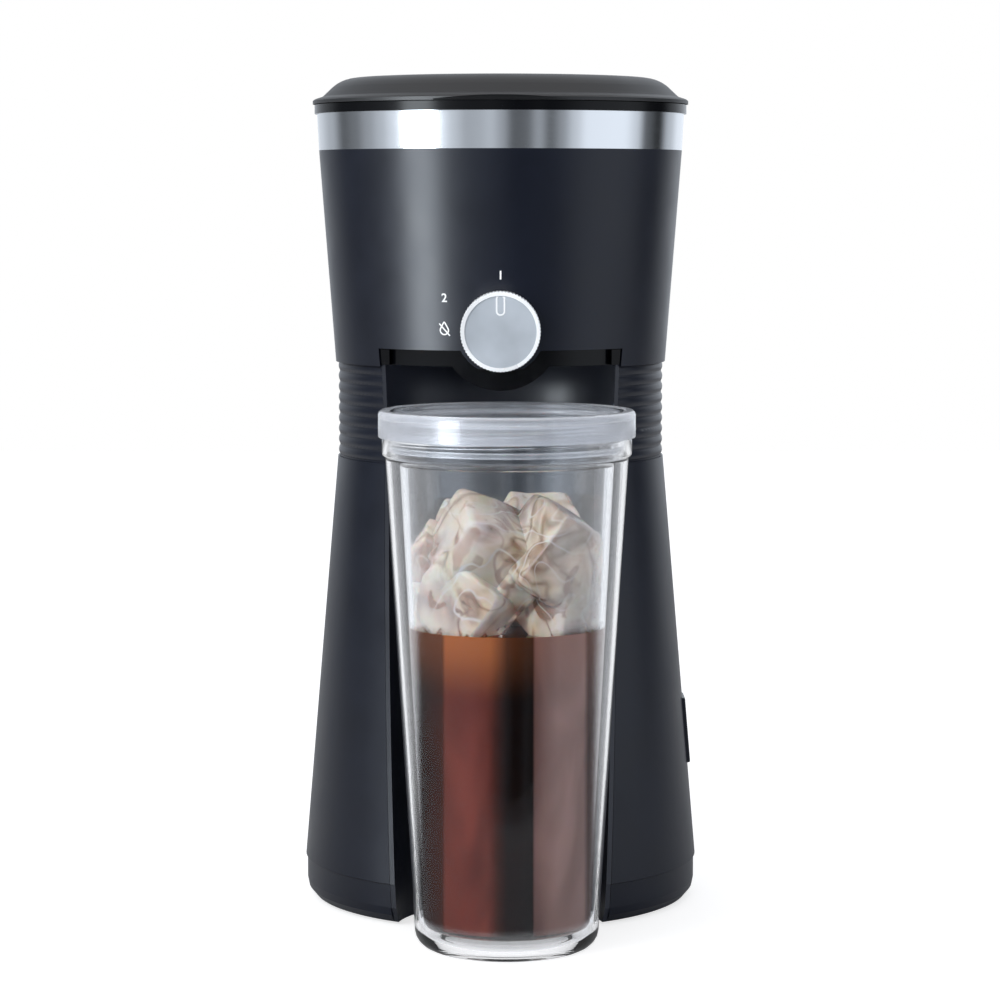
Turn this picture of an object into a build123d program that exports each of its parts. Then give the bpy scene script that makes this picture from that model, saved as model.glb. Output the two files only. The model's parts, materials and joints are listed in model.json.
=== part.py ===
from build123d import *
import os
from math import asin, cos, degrees, pi, radians, sin, sqrt

# Iced coffee maker with its double-wall tumbler. Millimetres, +Z up, the front faces -Y.
# The origin is the machine's own axis on the counter.

# Clearances
SEAT_GAP = 0.15
FACE_GAP = 0.3
RUNNING_GAP = 0.06
PRESS_GAP = 0.03

# Outer body, a stack of round sections about the machine's axis
WALL = 2.2
PAN_BOTTOM = 1.0
PAN_HEIGHT = 15.0
PAN_TOP = PAN_BOTTOM + PAN_HEIGHT
SHELL_FOOT_RADIUS = 78.2
SHELL_TOP_RADIUS = 64.6
SHELL_HEIGHT = 160.1
SHELL_BOTTOM = PAN_TOP + FACE_GAP
SHELL_TOP = SHELL_BOTTOM + SHELL_HEIGHT
PAN_RADIUS = SHELL_FOOT_RADIUS - 0.6
PAN_FLOOR_RADIUS = PAN_RADIUS - 3.1
PAN_EDGE = 3.0
RIB_HEIGHT = 37.4
RIB_TOP = SHELL_TOP + RIB_HEIGHT
RIB_COUNT = 9
RIB_RADIUS = SHELL_TOP_RADIUS - 0.3
RIB_DEPTH = 0.5
RIB_BACKING = 0.7
RIB_GROOVE = 0.7
HEAD_HEIGHT = 82.9
HEAD_TOP = RIB_TOP + HEAD_HEIGHT
HEAD_BOTTOM_RADIUS = RIB_RADIUS + 1.0
HEAD_TOP_RADIUS = HEAD_BOTTOM_RADIUS + 6.3
HEAD_SLOPE = (HEAD_TOP_RADIUS - HEAD_BOTTOM_RADIUS) / HEAD_HEIGHT
BAND_HEIGHT = 14.2
BAND_TOP = HEAD_TOP + BAND_HEIGHT
BAND_TOP_RADIUS = HEAD_TOP_RADIUS + 0.7
BAND_WALL = 0.6
COLLAR_TOP = BAND_TOP + 3.5
COLLAR_RADIUS = BAND_TOP_RADIUS + 1.0
COLLAR_INNER = COLLAR_RADIUS - 5.3
COLLAR_WALL = 1.6
LEDGE_RADIUS = COLLAR_INNER - 3.4
SPIGOT = 4.0

# Scallop that the tumbler nests in, a cone about its own upright axis
RECESS_BACK_Y = -32.0
RECESS_FLOOR_RADIUS = 40.0
RECESS_Y = RECESS_BACK_Y - RECESS_FLOOR_RADIUS
RECESS_SLOPE = 0.0505
LINER_WALL = 2.0
VISOR_BOTTOM = RIB_TOP + 0.7
VISOR_CHEEK_X = 42.5
VISOR_WALL = 2.0
SKIN_BOTTOM = VISOR_BOTTOM + 6.2

# Foot strip
FOOT_OUTER = PAN_RADIUS - 8.6
FOOT_INNER = FOOT_OUTER - 8.0
FOOT_SINK = 0.6

# Screws that hold the pan to the lower shell
POST_ANGLES = (40, 140, -14, -166)
POST_RADIUS = PAN_RADIUS - 11.6
POST_SIZE = 4.2
POST_TOP = PAN_BOTTOM + 26.0
SCREW_RADIUS = 1.6
SCREW_HEAD_RADIUS = 3.1
SCREW_LENGTH = 17.0

# Knob and its shaft. The chin hangs below the visor, round the knob
KNOB_RADIUS = 15.1
TONGUE_RADIUS = KNOB_RADIUS + 1.9
DRUM_RADIUS = TONGUE_RADIUS + 6.1
CHIN_DROP = 9.1
KNOB_Z = VISOR_BOTTOM - CHIN_DROP + DRUM_RADIUS
KNOB_WALL_RADIUS = HEAD_BOTTOM_RADIUS + HEAD_SLOPE * (KNOB_Z - RIB_TOP)
KNOB_DEPTH = 13.8
KNOB_BACK_Y = -KNOB_WALL_RADIUS - 2.1
KNOB_FRONT_Y = KNOB_BACK_Y - KNOB_DEPTH
KNOB_TEETH = 72
KNOB_TOOTH_DEPTH = 0.35
KNOB_FACE_RADIUS = KNOB_RADIUS - 1.7
KNOB_FACE_SINK = 0.4
KNOB_FACE_THICK = 1.4
KNOB_TURN = 90
POINTER_WIDTH = 3.6
POINTER_LENGTH = 8.0
POINTER_RIM_GAP = -0.6
POINTER_LINE = 0.5
POINTER_DEPTH = 0.4
SHAFT_RADIUS = 3.0
BUSHING_RADIUS = SHAFT_RADIUS + 2.0
BUSHING_FLANGE = BUSHING_RADIUS + 2.5

# Drip valve worked by the knob
LIFT = 3.0
CAM_HIGH_RADIUS = SHAFT_RADIUS + 1.0 + LIFT
CAM_THICK = 4.4
CAM_FRONT_Y = -KNOB_WALL_RADIUS + WALL + SEAT_GAP + VISOR_WALL + 2.0
DRUM_BACK_Y = CAM_FRONT_Y + 24.1
OUTLET_Y = CAM_FRONT_Y + 14.1
OUTLET_RADIUS = 3.5
TAIL_RADIUS = 1.8
LIFTER_THICK = 2.5
NOSE_RADIUS = 1.0
STEM_RADIUS = 1.6
STEM_FOOT = 0.6
CLIP_THICK = 0.8
SPRING_WIRE = 0.7
SPRING_RADIUS = 3.4
SPRING_TURNS = 4
SEAL_RADIUS = 6.0
SEAL_THICK = 2.0

# Brew well, basket and filter, about one upright axis
WELL_Y = -30.0
WELL_RADIUS = 33.5
WELL_WALL = 1.8
WELL_BOTTOM = KNOB_Z + CAM_HIGH_RADIUS + LIFTER_THICK + 4.0
WELL_DRAIN_RADIUS = 7.0
DECK_BOTTOM = HEAD_TOP + 2.3
DECK_THICK = 2.0
BASKET_BOTTOM = WELL_BOTTOM + 5.0
BASKET_FLOOR_RADIUS = WELL_RADIUS - WELL_WALL - 4.2
BASKET_WALL = 1.8
BASKET_RIM = 2.0
DRAIN_RADIUS = 4.0
FILTER_BOTTOM = BASKET_BOTTOM + BASKET_WALL + LIFT + SEAL_THICK + 2.0
FILTER_WALL = 0.5
FILTER_RIB = 1.2
FILTER_RIBS = 8

# Water tank
TANK_RADIUS = HEAD_BOTTOM_RADIUS - WALL - 0.6
TANK_FRONT_Y = 6.0
TANK_BOTTOM = RIB_TOP + SPIGOT + 8.2
TANK_WALL = 1.8
TANK_OUTLET = (-28.0, 30.0)
TANK_STUB_RADIUS = 4.9
TANK_STUB_BORE = 3.5
TANK_STUB_LENGTH = 14.0

# Heater, hoses and their fixings
HEATER_Y = 22.0
HEATER_BEND = 30.0
HEATER_LEG = 16.0
HEATER_Z = PAN_TOP
WATER_TUBE_RADIUS = 5.0
WATER_TUBE_BORE = 3.8
ELEMENT_RADIUS = 3.5
HOSE_WALL = 1.9
HOSE_OVERLAP = 10.0
RISER = (34.0, -4.0)
STRAP_THICK = 1.2
STRAP_WIDTH = 6.0
STRAP_Y = HEATER_Y + 14.0
BRACKET_HOLE_X = 14.0
THERMOSTAT_RADIUS = 8.0
THERMOSTAT_HEIGHT = 6.0
FUSE_RADIUS = 2.0
FUSE_LENGTH = 20.0
WIRE_RADIUS = 1.2

# Rocker switch on the right side, square to the sloping wall
SWITCH_Z = 66.2
SWITCH_WIDTH = 15.0
SWITCH_HEIGHT = 26.1
SWITCH_PROUD = 0.9
SWITCH_FLANGE = 1.6
ROCKER_WIDTH = SWITCH_WIDTH - 4.0
ROCKER_HALF = SWITCH_HEIGHT / 2 - 2.75
ROCKER_TILT = 8.0
ROCKER_PIVOT = 4.5
SWITCH_DEPTH = 15.0
TRUNNION_RADIUS = 1.2

# Cord gland at the back
GLAND_Z = 28.0
GLAND_BORE = 3.6
GLAND_RADIUS = GLAND_BORE + 2.4
GLAND_FLANGE = GLAND_RADIUS + 2.5
GLAND_INSIDE = 8.0

# Lid and its hinge
LID_RADIUS = COLLAR_RADIUS + 0.7
LID_BOTTOM = COLLAR_TOP + FACE_GAP
LID_LIP_TOP = LID_BOTTOM + 1.9
LID_STEP_RADIUS = LID_RADIUS - 3.8
LID_STEP_TOP = LID_LIP_TOP + 1.0
LID_CROWN_RADIUS = LID_STEP_RADIUS - 7.4
LID_CROWN = 7.2
LID_TOP = LID_STEP_TOP + LID_CROWN
LID_WALL = 2.0
NOTCH_WIDTH = 57.0
NOTCH_HEIGHT = 1.9
KNUCKLE_RADIUS = 3.8
KNUCKLE_HALF = 7.0
EAR_WIDTH = 5.0
PIN_RADIUS = 1.5
HINGE_Y = LID_RADIUS + KNUCKLE_RADIUS + 0.4
HINGE_Z = LID_BOTTOM
LID_SEAL_WIDTH = 2.2
LID_PLATE_BOTTOM = COLLAR_TOP - 3.4
LID_PLATE_RADIUS = COLLAR_INNER - FACE_GAP - LID_SEAL_WIDTH
LID_PLATE_THICK = 1.8
LID_SCREW_RADIUS = 54.0
SPRAY_RADIUS = 22.0
SPRAY_BOTTOM = LID_PLATE_BOTTOM - 3.5
SPRAY_HOLE = 1.0
PORT_TOP = LID_PLATE_BOTTOM - 3.5

# Tumbler, standing drawn out of the scallop as in the photograph
TUMBLER_DRAWN_OUT = 23.4
TUMBLER_X = 2.3
TUMBLER_Y = RECESS_Y - TUMBLER_DRAWN_OUT
TUMBLER_HEIGHT = VISOR_BOTTOM - 13.9
TUMBLER_FOOT_RADIUS = RECESS_FLOOR_RADIUS - 6.0
TUMBLER_SHOULDER_Z = TUMBLER_HEIGHT - 17.6
TUMBLER_SHOULDER_RADIUS = TUMBLER_FOOT_RADIUS + 11.0
TUMBLER_NECK_RADIUS = TUMBLER_SHOULDER_RADIUS + 1.2
TUMBLER_LIP_Z = TUMBLER_HEIGHT - 10.0
TUMBLER_LIP_WALL = 1.0
TUMBLER_RIM_RADIUS = TUMBLER_NECK_RADIUS + 0.3 + TUMBLER_LIP_WALL
TUMBLER_CORNER = 6.5
TUMBLER_WALL = 1.6
CUP_WALL = 2.0
CUP_FLOOR_Z = 10.0
CUP_FLOOR_RADIUS = TUMBLER_FOOT_RADIUS - 4.5
CUP_SHOULDER_RADIUS = TUMBLER_SHOULDER_RADIUS - 7.3
CUP_MOUTH_RADIUS = TUMBLER_NECK_RADIUS - 4.7
THREAD_PITCH = 4.2
THREAD_TURNS = 2.5
THREAD_SIZE = 1.3

# Reach of a cutter that runs out past everything
FAR = 200.0

LOW = (Align.CENTER, Align.CENTER, Align.MIN)


# Shapes used throughout

def disc(radius, bottom, top, x=0.0, y=0.0):
    """An upright cylinder."""
    return Pos(x, y, bottom) * Cylinder(radius, top - bottom, align=LOW)


def tube(radius, bore, bottom, top, x=0.0, y=0.0):
    """An upright tube."""
    return disc(radius, bottom, top, x, y) - disc(bore, bottom, top, x, y)


def cone(bottom_radius, top_radius, bottom, top, x=0.0, y=0.0):
    """An upright cone frustum."""
    return Pos(x, y, bottom) * Cone(bottom_radius, top_radius, top - bottom, align=LOW)


def block(x_span, y_span, z_span):
    """A box between pairs of limits."""
    size = [span[1] - span[0] for span in (x_span, y_span, z_span)]
    middle = [(span[1] + span[0]) / 2 for span in (x_span, y_span, z_span)]
    return Pos(*middle) * Box(*size)


def lying(radius, y_front, y_back, x=0.0, z=0.0):
    """A cylinder along Y."""
    length = y_back - y_front
    return Pos(x, y_front, z) * (Rot(-90, 0, 0) * Cylinder(radius, length, align=LOW))


def crosswise(radius, x_left, x_right, y, z):
    """A cylinder along X."""
    length = x_right - x_left
    return Pos(x_left, y, z) * (Rot(0, 90, 0) * Cylinder(radius, length, align=LOW))


def revolved(points, x=0.0, y=0.0):
    """A solid of revolution from (radius, height) points."""
    outline = make_face(Polyline([(r, 0, z) for r, z in points], close=True))
    return Pos(x, y, 0) * revolve(outline, axis=Axis.Z)


def pipe(points, bends, radius, bore=0.0):
    """A rod or tube along straight runs that are joined by arcs."""
    path = FilletPolyline(points, radius=bends)
    section = Circle(radius)
    if bore:
        section -= Circle(bore)
    solid = sweep(Plane(origin=path @ 0, z_dir=path % 0) * section, path=path)
    ring = pi * (radius ** 2 - bore ** 2)
    ratio = round(solid.volume / (ring * path.length), 5)
    print("pipe radii", bends, "volume over section times length", ratio)
    return solid


def on_circle(radius, angle, x=0.0, y=0.0):
    """A plan point at an angle in degrees from +X."""
    return x + radius * cos(radians(angle)), y + radius * sin(radians(angle))


# Outer body

def shell_radius(z):
    """Outer radius of the lower shell at a height."""
    share = (z - SHELL_BOTTOM) / (SHELL_TOP - SHELL_BOTTOM)
    return SHELL_FOOT_RADIUS + share * (SHELL_TOP_RADIUS - SHELL_FOOT_RADIUS)


def head_radius(z):
    """Outer radius of the head shell at a height."""
    return HEAD_BOTTOM_RADIUS + HEAD_SLOPE * (z - RIB_TOP)


def recess_radius(z):
    """Radius of the scallop at a height."""
    return RECESS_FLOOR_RADIUS + RECESS_SLOPE * z


def recess_cone(grow, bottom, top):
    """The scallop's cone, grown outwards."""
    low_radius = recess_radius(bottom) + grow
    high_radius = recess_radius(top) + grow
    return cone(low_radius, high_radius, bottom, top, y=RECESS_Y)


def liner_room(bottom=-5.0, top=VISOR_BOTTOM + 30):
    """What the other pieces leave free for the scallop and its liner."""
    return recess_cone(LINER_WALL + SEAT_GAP, bottom, top)


def post_points():
    """Plan points of the pan's screws."""
    return [on_circle(POST_RADIUS, angle) for angle in POST_ANGLES]


def foot_strip():
    strip = tube(FOOT_OUTER, FOOT_INNER, 0, PAN_BOTTOM + FOOT_SINK)
    strip -= recess_cone(LINER_WALL + SEAT_GAP + 2 * WALL, -5, 10)
    for x, y in post_points():
        strip -= disc(SCREW_HEAD_RADIUS + 1, -1, 3, x, y)
    return strip


def base_pan():
    outline = [
        (0, PAN_BOTTOM),
        (PAN_FLOOR_RADIUS, PAN_BOTTOM),
        (PAN_RADIUS - 0.6, PAN_BOTTOM + PAN_EDGE),
        (PAN_RADIUS, PAN_BOTTOM + 2 * PAN_EDGE),
        (PAN_RADIUS, PAN_TOP),
        (0, PAN_TOP),
    ]
    outside = revolved(outline)
    upstand_reach = min(shell_radius(SHELL_BOTTOM) - 0.4, shell_radius(PAN_TOP + SPIGOT))
    upstand_radius = upstand_reach - WALL - SEAT_GAP
    inside = disc(upstand_radius - WALL, PAN_BOTTOM + WALL, PAN_TOP + 10)
    outside += disc(upstand_radius, PAN_TOP, PAN_TOP + SPIGOT)
    pan = outside - inside - liner_room()
    bite_wall = recess_cone(LINER_WALL + SEAT_GAP + WALL, PAN_BOTTOM, PAN_TOP - 2) - liner_room()
    pan += bite_wall & outside
    floor_top = PAN_BOTTOM + WALL
    for x, y in post_points():
        pan += disc(POST_SIZE + 1, floor_top, floor_top + 2, x, y)
    for x in (-BRACKET_HOLE_X, BRACKET_HOLE_X):
        pan += disc(POST_SIZE, floor_top, bracket_bottom(), x, STRAP_Y)
        pan -= disc(SCREW_RADIUS + PRESS_GAP, floor_top + 1, bracket_bottom(), x, STRAP_Y)
    for x, y in post_points():
        pan -= disc(SCREW_RADIUS + SEAT_GAP, 0, PAN_TOP, x, y)
        pan -= disc(SCREW_HEAD_RADIUS + SEAT_GAP, 0, PAN_BOTTOM + 1.4, x, y)
    pan -= tube(FOOT_OUTER + SEAT_GAP, FOOT_INNER - SEAT_GAP, 0, PAN_BOTTOM + FOOT_SINK)
    for row in range(6):
        slot_y = 2.0 + 5.0 * row
        pan -= block((-14, 14), (slot_y, slot_y + 2), (0, floor_top + 1))
    return pan


def base_screws():
    head_bottom = PAN_BOTTOM + 0.2
    screws = []
    for x, y in post_points():
        screw = disc(SCREW_HEAD_RADIUS, head_bottom, head_bottom + 1.1, x, y)
        screw += disc(SCREW_RADIUS, head_bottom, head_bottom + SCREW_LENGTH, x, y)
        screw -= Pos(x, y, head_bottom) * Box(3.6, 0.7, 1.0)
        screw -= Pos(x, y, head_bottom) * Box(0.7, 3.6, 1.0)
        screws.append(screw)
    return screws


def lower_shell():
    inner_top = SHELL_TOP_RADIUS - WALL
    outside = cone(SHELL_FOOT_RADIUS, SHELL_TOP_RADIUS, SHELL_BOTTOM, SHELL_TOP)
    inside = cone(SHELL_FOOT_RADIUS - WALL, inner_top, SHELL_BOTTOM, SHELL_TOP)
    shell = outside - inside - liner_room()
    web_bottom = PAN_TOP + SPIGOT + 0.6
    floor_top = PAN_BOTTOM + WALL
    for angle, (x, y) in zip(POST_ANGLES, post_points()):
        post = disc(POST_SIZE, floor_top + 2, POST_TOP, x, y)
        reach = shell_radius(POST_TOP) - WALL / 2
        web = Rot(0, 0, angle) * block((POST_RADIUS, reach), (-1.2, 1.2), (web_bottom, POST_TOP))
        pilot = disc(SCREW_RADIUS + PRESS_GAP, 0, PAN_BOTTOM + SCREW_LENGTH + 1, x, y)
        shell += post + web
        shell -= pilot
    shell -= switch_plane() * Box(SWITCH_WIDTH + 0.3, SWITCH_HEIGHT + 0.3, 2 * SWITCH_FLANGE)
    shell -= switch_plane() * Box(body_width() + 0.3, body_height() + 0.3, 20)
    shell -= lying(GLAND_RADIUS + PRESS_GAP, inner_top / 2, FAR, z=GLAND_Z)
    return shell


def recess_liner():
    outline = [
        (0, PAN_BOTTOM),
        (PAN_FLOOR_RADIUS, PAN_BOTTOM),
        (PAN_RADIUS, PAN_BOTTOM + 2 * PAN_EDGE),
        (PAN_RADIUS, PAN_TOP),
        (SHELL_FOOT_RADIUS, SHELL_BOTTOM),
        (SHELL_TOP_RADIUS, SHELL_TOP),
        (RIB_RADIUS, SHELL_TOP + 1),
        (RIB_RADIUS, VISOR_BOTTOM),
        (0, VISOR_BOTTOM),
    ]
    sheet = recess_cone(LINER_WALL, PAN_BOTTOM, VISOR_BOTTOM) - recess_cone(0, -5, VISOR_BOTTOM + 5)
    return sheet & revolved(outline)


def rib_band():
    pitch = (RIB_TOP - SHELL_TOP) / RIB_COUNT
    groove_radius = RIB_RADIUS - RIB_DEPTH
    inner = groove_radius - WALL - RIB_BACKING
    spigot_low = shell_radius(SHELL_TOP - SPIGOT) - WALL - SEAT_GAP
    spigot_low = min(spigot_low, SHELL_TOP_RADIUS - WALL - SEAT_GAP)
    spigot_high = HEAD_BOTTOM_RADIUS - WALL - SEAT_GAP
    edges = []
    for index in range(RIB_COUNT):
        start = SHELL_TOP + index * pitch
        edges.append(Line((groove_radius, 0, start), (groove_radius, 0, start + RIB_GROOVE)))
        crown = (RIB_RADIUS, 0, start + (RIB_GROOVE + pitch) / 2)
        foot = (groove_radius, 0, start + RIB_GROOVE)
        edges.append(ThreePointArc(foot, crown, (groove_radius, 0, start + pitch)))
    closing = [
        (groove_radius, 0, RIB_TOP),
        (spigot_high, 0, RIB_TOP),
        (spigot_high, 0, RIB_TOP + SPIGOT),
        (inner, 0, RIB_TOP + SPIGOT),
        (inner, 0, SHELL_TOP - SPIGOT),
        (spigot_low, 0, SHELL_TOP - SPIGOT),
        (spigot_low, 0, SHELL_TOP),
        (groove_radius, 0, SHELL_TOP),
    ]
    edges.append(Polyline(closing))
    band = revolve(make_face(edges), axis=Axis.Z)
    return band - liner_room()


# Head

def front_wall_radius(z):
    """Outer radius of the visor, just inside the head shell."""
    return head_radius(z) - WALL - SEAT_GAP


def head_inside(shrink, bottom, top):
    """The space inside the head shell, shrunk."""
    low_radius = front_wall_radius(bottom) - shrink
    return cone(low_radius, front_wall_radius(top) - shrink, bottom, top)


def head_shell():
    shell = cone(HEAD_BOTTOM_RADIUS, HEAD_TOP_RADIUS, RIB_TOP, HEAD_TOP)
    shell -= cone(HEAD_BOTTOM_RADIUS - WALL, HEAD_TOP_RADIUS - WALL, RIB_TOP, HEAD_TOP)
    bay = liner_room(RIB_TOP - 1, SKIN_BOTTOM)
    bay -= lying(TONGUE_RADIUS, -FAR, WELL_Y, z=KNOB_Z)
    shell -= bay
    shell -= lying(BUSHING_RADIUS + PRESS_GAP, -FAR, WELL_Y, z=KNOB_Z)
    return shell


def steel_band():
    outside = cone(HEAD_TOP_RADIUS, BAND_TOP_RADIUS, HEAD_TOP, BAND_TOP)
    inside_top = BAND_TOP_RADIUS - BAND_WALL
    return outside - cone(HEAD_TOP_RADIUS - BAND_WALL, inside_top, HEAD_TOP, BAND_TOP)


def ear_shape(side):
    """One hinge ear, from the collar out to the pin."""
    near = side * (KNUCKLE_HALF + FACE_GAP)
    far = near + side * EAR_WIDTH
    span = (min(near, far), max(near, far))
    ear = crosswise(KNUCKLE_RADIUS, span[0], span[1], HINGE_Y, HINGE_Z)
    return ear + block(span, (COLLAR_INNER + 2, HINGE_Y), (BAND_TOP, COLLAR_TOP))


def rim_collar():
    spigot_radius = head_radius(HEAD_TOP - 2 * SPIGOT) - WALL - SEAT_GAP
    seat_radius = HEAD_TOP_RADIUS - BAND_WALL - PRESS_GAP
    seat_top = BAND_TOP_RADIUS - BAND_WALL - PRESS_GAP
    wall_inner = spigot_radius - COLLAR_WALL
    outline = [
        (wall_inner, HEAD_TOP - 2 * SPIGOT),
        (spigot_radius, HEAD_TOP - 2 * SPIGOT),
        (spigot_radius, HEAD_TOP + PRESS_GAP),
        (seat_radius, HEAD_TOP + PRESS_GAP),
        (seat_top, BAND_TOP + PRESS_GAP),
        (COLLAR_RADIUS, BAND_TOP + PRESS_GAP),
        (COLLAR_RADIUS, COLLAR_TOP),
        (COLLAR_INNER, COLLAR_TOP),
        (COLLAR_INNER, DECK_BOTTOM),
        (LEDGE_RADIUS, DECK_BOTTOM),
        (LEDGE_RADIUS, DECK_BOTTOM - 2),
        (wall_inner, DECK_BOTTOM - 4),
    ]
    collar = revolved(outline)
    for side in (-1, 1):
        collar += ear_shape(side)
    reach = KNUCKLE_HALF + EAR_WIDTH + 2
    return collar - crosswise(PIN_RADIUS + PRESS_GAP, -reach, reach, HINGE_Y, HINGE_Z)


def hinge_pin():
    reach = KNUCKLE_HALF + FACE_GAP + EAR_WIDTH
    return crosswise(PIN_RADIUS, -reach, reach, HINGE_Y, HINGE_Z)


def spout_visor():
    plate_top = VISOR_BOTTOM + VISOR_WALL
    lip_top = SKIN_BOTTOM + 5
    seat = recess_cone(LINER_WALL, VISOR_BOTTOM, lip_top)
    visor = seat & head_inside(0, VISOR_BOTTOM, plate_top)
    lip = head_inside(0, VISOR_BOTTOM, lip_top) - head_inside(VISOR_WALL, VISOR_BOTTOM, lip_top)
    visor += lip & seat
    cheek_top = SKIN_BOTTOM - FACE_GAP
    cheeks = cone(head_radius(VISOR_BOTTOM) - 0.5, head_radius(cheek_top) - 0.5, VISOR_BOTTOM, cheek_top)
    cheeks -= head_inside(1, VISOR_BOTTOM, cheek_top)
    cheeks -= block((-VISOR_CHEEK_X, VISOR_CHEEK_X), (-FAR, FAR), (VISOR_BOTTOM - 1, cheek_top + 1))
    visor += cheeks & seat & block((-FAR, FAR), (-FAR, 0), (VISOR_BOTTOM, cheek_top))
    drum_low = KNOB_Z - DRUM_RADIUS - 1
    drum = lying(DRUM_RADIUS, -FAR, DRUM_BACK_Y, z=KNOB_Z)
    drum &= head_inside(0, drum_low, KNOB_Z + BUSHING_RADIUS + 3)
    hollow = lying(DRUM_RADIUS - VISOR_WALL, -FAR, DRUM_BACK_Y - VISOR_WALL, z=KNOB_Z)
    hollow &= head_inside(VISOR_WALL, drum_low, KNOB_Z + 30)
    visor += drum
    visor -= hollow
    visor += lying(BUSHING_RADIUS + 3, -FAR, CAM_FRONT_Y - 2, z=KNOB_Z) & (
        head_inside(0, drum_low, KNOB_Z + 10) - head_inside(VISOR_WALL, drum_low, KNOB_Z + 10)
    )
    visor -= lying(BUSHING_RADIUS + PRESS_GAP, -FAR, OUTLET_Y - 4, z=KNOB_Z)
    boss = disc(guide_radius() + 1, drum_low, guide_bottom(), y=OUTLET_Y)
    visor += boss & lying(DRUM_RADIUS, -FAR, DRUM_BACK_Y, z=KNOB_Z)
    return visor - disc(OUTLET_RADIUS, drum_low - 1, guide_bottom() + 1, y=OUTLET_Y)


def guide_radius():
    """Outer radius of the drip guide."""
    return OUTLET_RADIUS + 3.5


def guide_bottom():
    """Height of the seat of the drip guide, above the drum's curved floor."""
    return KNOB_Z - DRUM_RADIUS + VISOR_WALL + 1.6


def valve_guide():
    guide = tube(guide_radius(), OUTLET_RADIUS, guide_bottom(), guide_bottom() + 3, y=OUTLET_Y)
    spider = disc(OUTLET_RADIUS + 0.5, guide_bottom(), guide_bottom() + 3, y=OUTLET_Y)
    arms = block((-5, 5), (OUTLET_Y - 0.6, OUTLET_Y + 0.6), (guide_bottom(), guide_bottom() + 3))
    hub = disc(TAIL_RADIUS + 0.9, guide_bottom(), guide_bottom() + 3, y=OUTLET_Y)
    guide += (arms & spider) + hub
    return guide - disc(TAIL_RADIUS + RUNNING_GAP, guide_bottom() - 1, guide_bottom() + 4, y=OUTLET_Y)


def knob_bushing():
    inner_face = front_wall_radius(KNOB_Z) - VISOR_WALL
    front = -head_radius(KNOB_Z) - 0.2
    flange_back = CAM_FRONT_Y - FACE_GAP
    bushing = lying(BUSHING_RADIUS, front, flange_back, z=KNOB_Z)
    bushing += lying(BUSHING_FLANGE, -inner_face + 1.0, flange_back, z=KNOB_Z)
    bushing -= lying(SHAFT_RADIUS + RUNNING_GAP, -FAR, OUTLET_Y, z=KNOB_Z)
    return bushing - lying(SHAFT_RADIUS + 1.2, front - 1, front + 1.5, z=KNOB_Z)


def shaft_seal():
    front = -head_radius(KNOB_Z) - 0.2
    ring = lying(SHAFT_RADIUS + 1.1, front + 0.1, front + 1.4, z=KNOB_Z)
    return ring - lying(SHAFT_RADIUS + RUNNING_GAP, -FAR, OUTLET_Y, z=KNOB_Z)


# Knob

def knob_body():
    corners = []
    for index in range(2 * KNOB_TEETH):
        radius = KNOB_RADIUS - (index % 2) * KNOB_TOOTH_DEPTH
        corners.append(on_circle(radius, index * 180 / KNOB_TEETH))
    depth = KNOB_BACK_Y - KNOB_FRONT_Y
    outline = Plane.XZ * make_face(Polyline([(x, y) for x, y in corners], close=True))
    grip = Pos(0, KNOB_BACK_Y, KNOB_Z) * extrude(outline, depth)
    core_front = KNOB_FRONT_Y + 0.8
    grip -= lying(KNOB_RADIUS + 2, -FAR, core_front, z=KNOB_Z)
    front = lying(KNOB_RADIUS - KNOB_TOOTH_DEPTH, KNOB_FRONT_Y, core_front, z=KNOB_Z)
    face_back = KNOB_FRONT_Y + KNOB_FACE_SINK + KNOB_FACE_THICK
    body = grip + front
    body -= lying(KNOB_FACE_RADIUS + PRESS_GAP, -FAR, face_back, z=KNOB_Z)
    shell_inner = KNOB_RADIUS - 2.2
    hollow = lying(shell_inner, face_back + 1.8, KNOB_BACK_Y + 1, z=KNOB_Z)
    hollow -= lying(SHAFT_RADIUS + 2.0, -FAR, KNOB_BACK_Y + 1, z=KNOB_Z)
    body -= hollow
    return body - lying(SHAFT_RADIUS + PRESS_GAP, face_back + 1.2, OUTLET_Y, z=KNOB_Z)


def pointer_outline(shrink):
    """The pointer's rounded slot, as a solid that reaches through the knob's face."""
    width = POINTER_WIDTH - 2 * shrink
    length = POINTER_LENGTH - 2 * shrink
    centre = KNOB_Z + KNOB_FACE_RADIUS - POINTER_RIM_GAP - POINTER_LENGTH / 2
    slot = Plane.XZ * (Rot(0, 0, 90) * SlotOverall(length, width))
    return Pos(0, KNOB_BACK_Y, centre) * extrude(slot, 2 * KNOB_DEPTH)


def knob_face():
    front = KNOB_FRONT_Y + KNOB_FACE_SINK
    face = lying(KNOB_FACE_RADIUS, front, front + KNOB_FACE_THICK, z=KNOB_Z)
    line = pointer_outline(0) - pointer_outline(POINTER_LINE)
    return face - (line & lying(KNOB_RADIUS, -FAR, front + POINTER_DEPTH, z=KNOB_Z))


def knob_shaft():
    face_back = KNOB_FRONT_Y + KNOB_FACE_SINK + KNOB_FACE_THICK
    return lying(SHAFT_RADIUS, face_back + 1.3, CAM_FRONT_Y + CAM_THICK, z=KNOB_Z)


def cam_radius(turn):
    """Radius of the cam at an angle in degrees, clockwise from its top as seen from the front."""
    low = CAM_HIGH_RADIUS - LIFT
    if turn <= 0:
        return CAM_HIGH_RADIUS
    if turn <= KNOB_TURN:
        return CAM_HIGH_RADIUS - LIFT * turn / KNOB_TURN
    if turn <= 310:
        return low
    return low + LIFT * min(1, (turn - 310) / 30)


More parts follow.
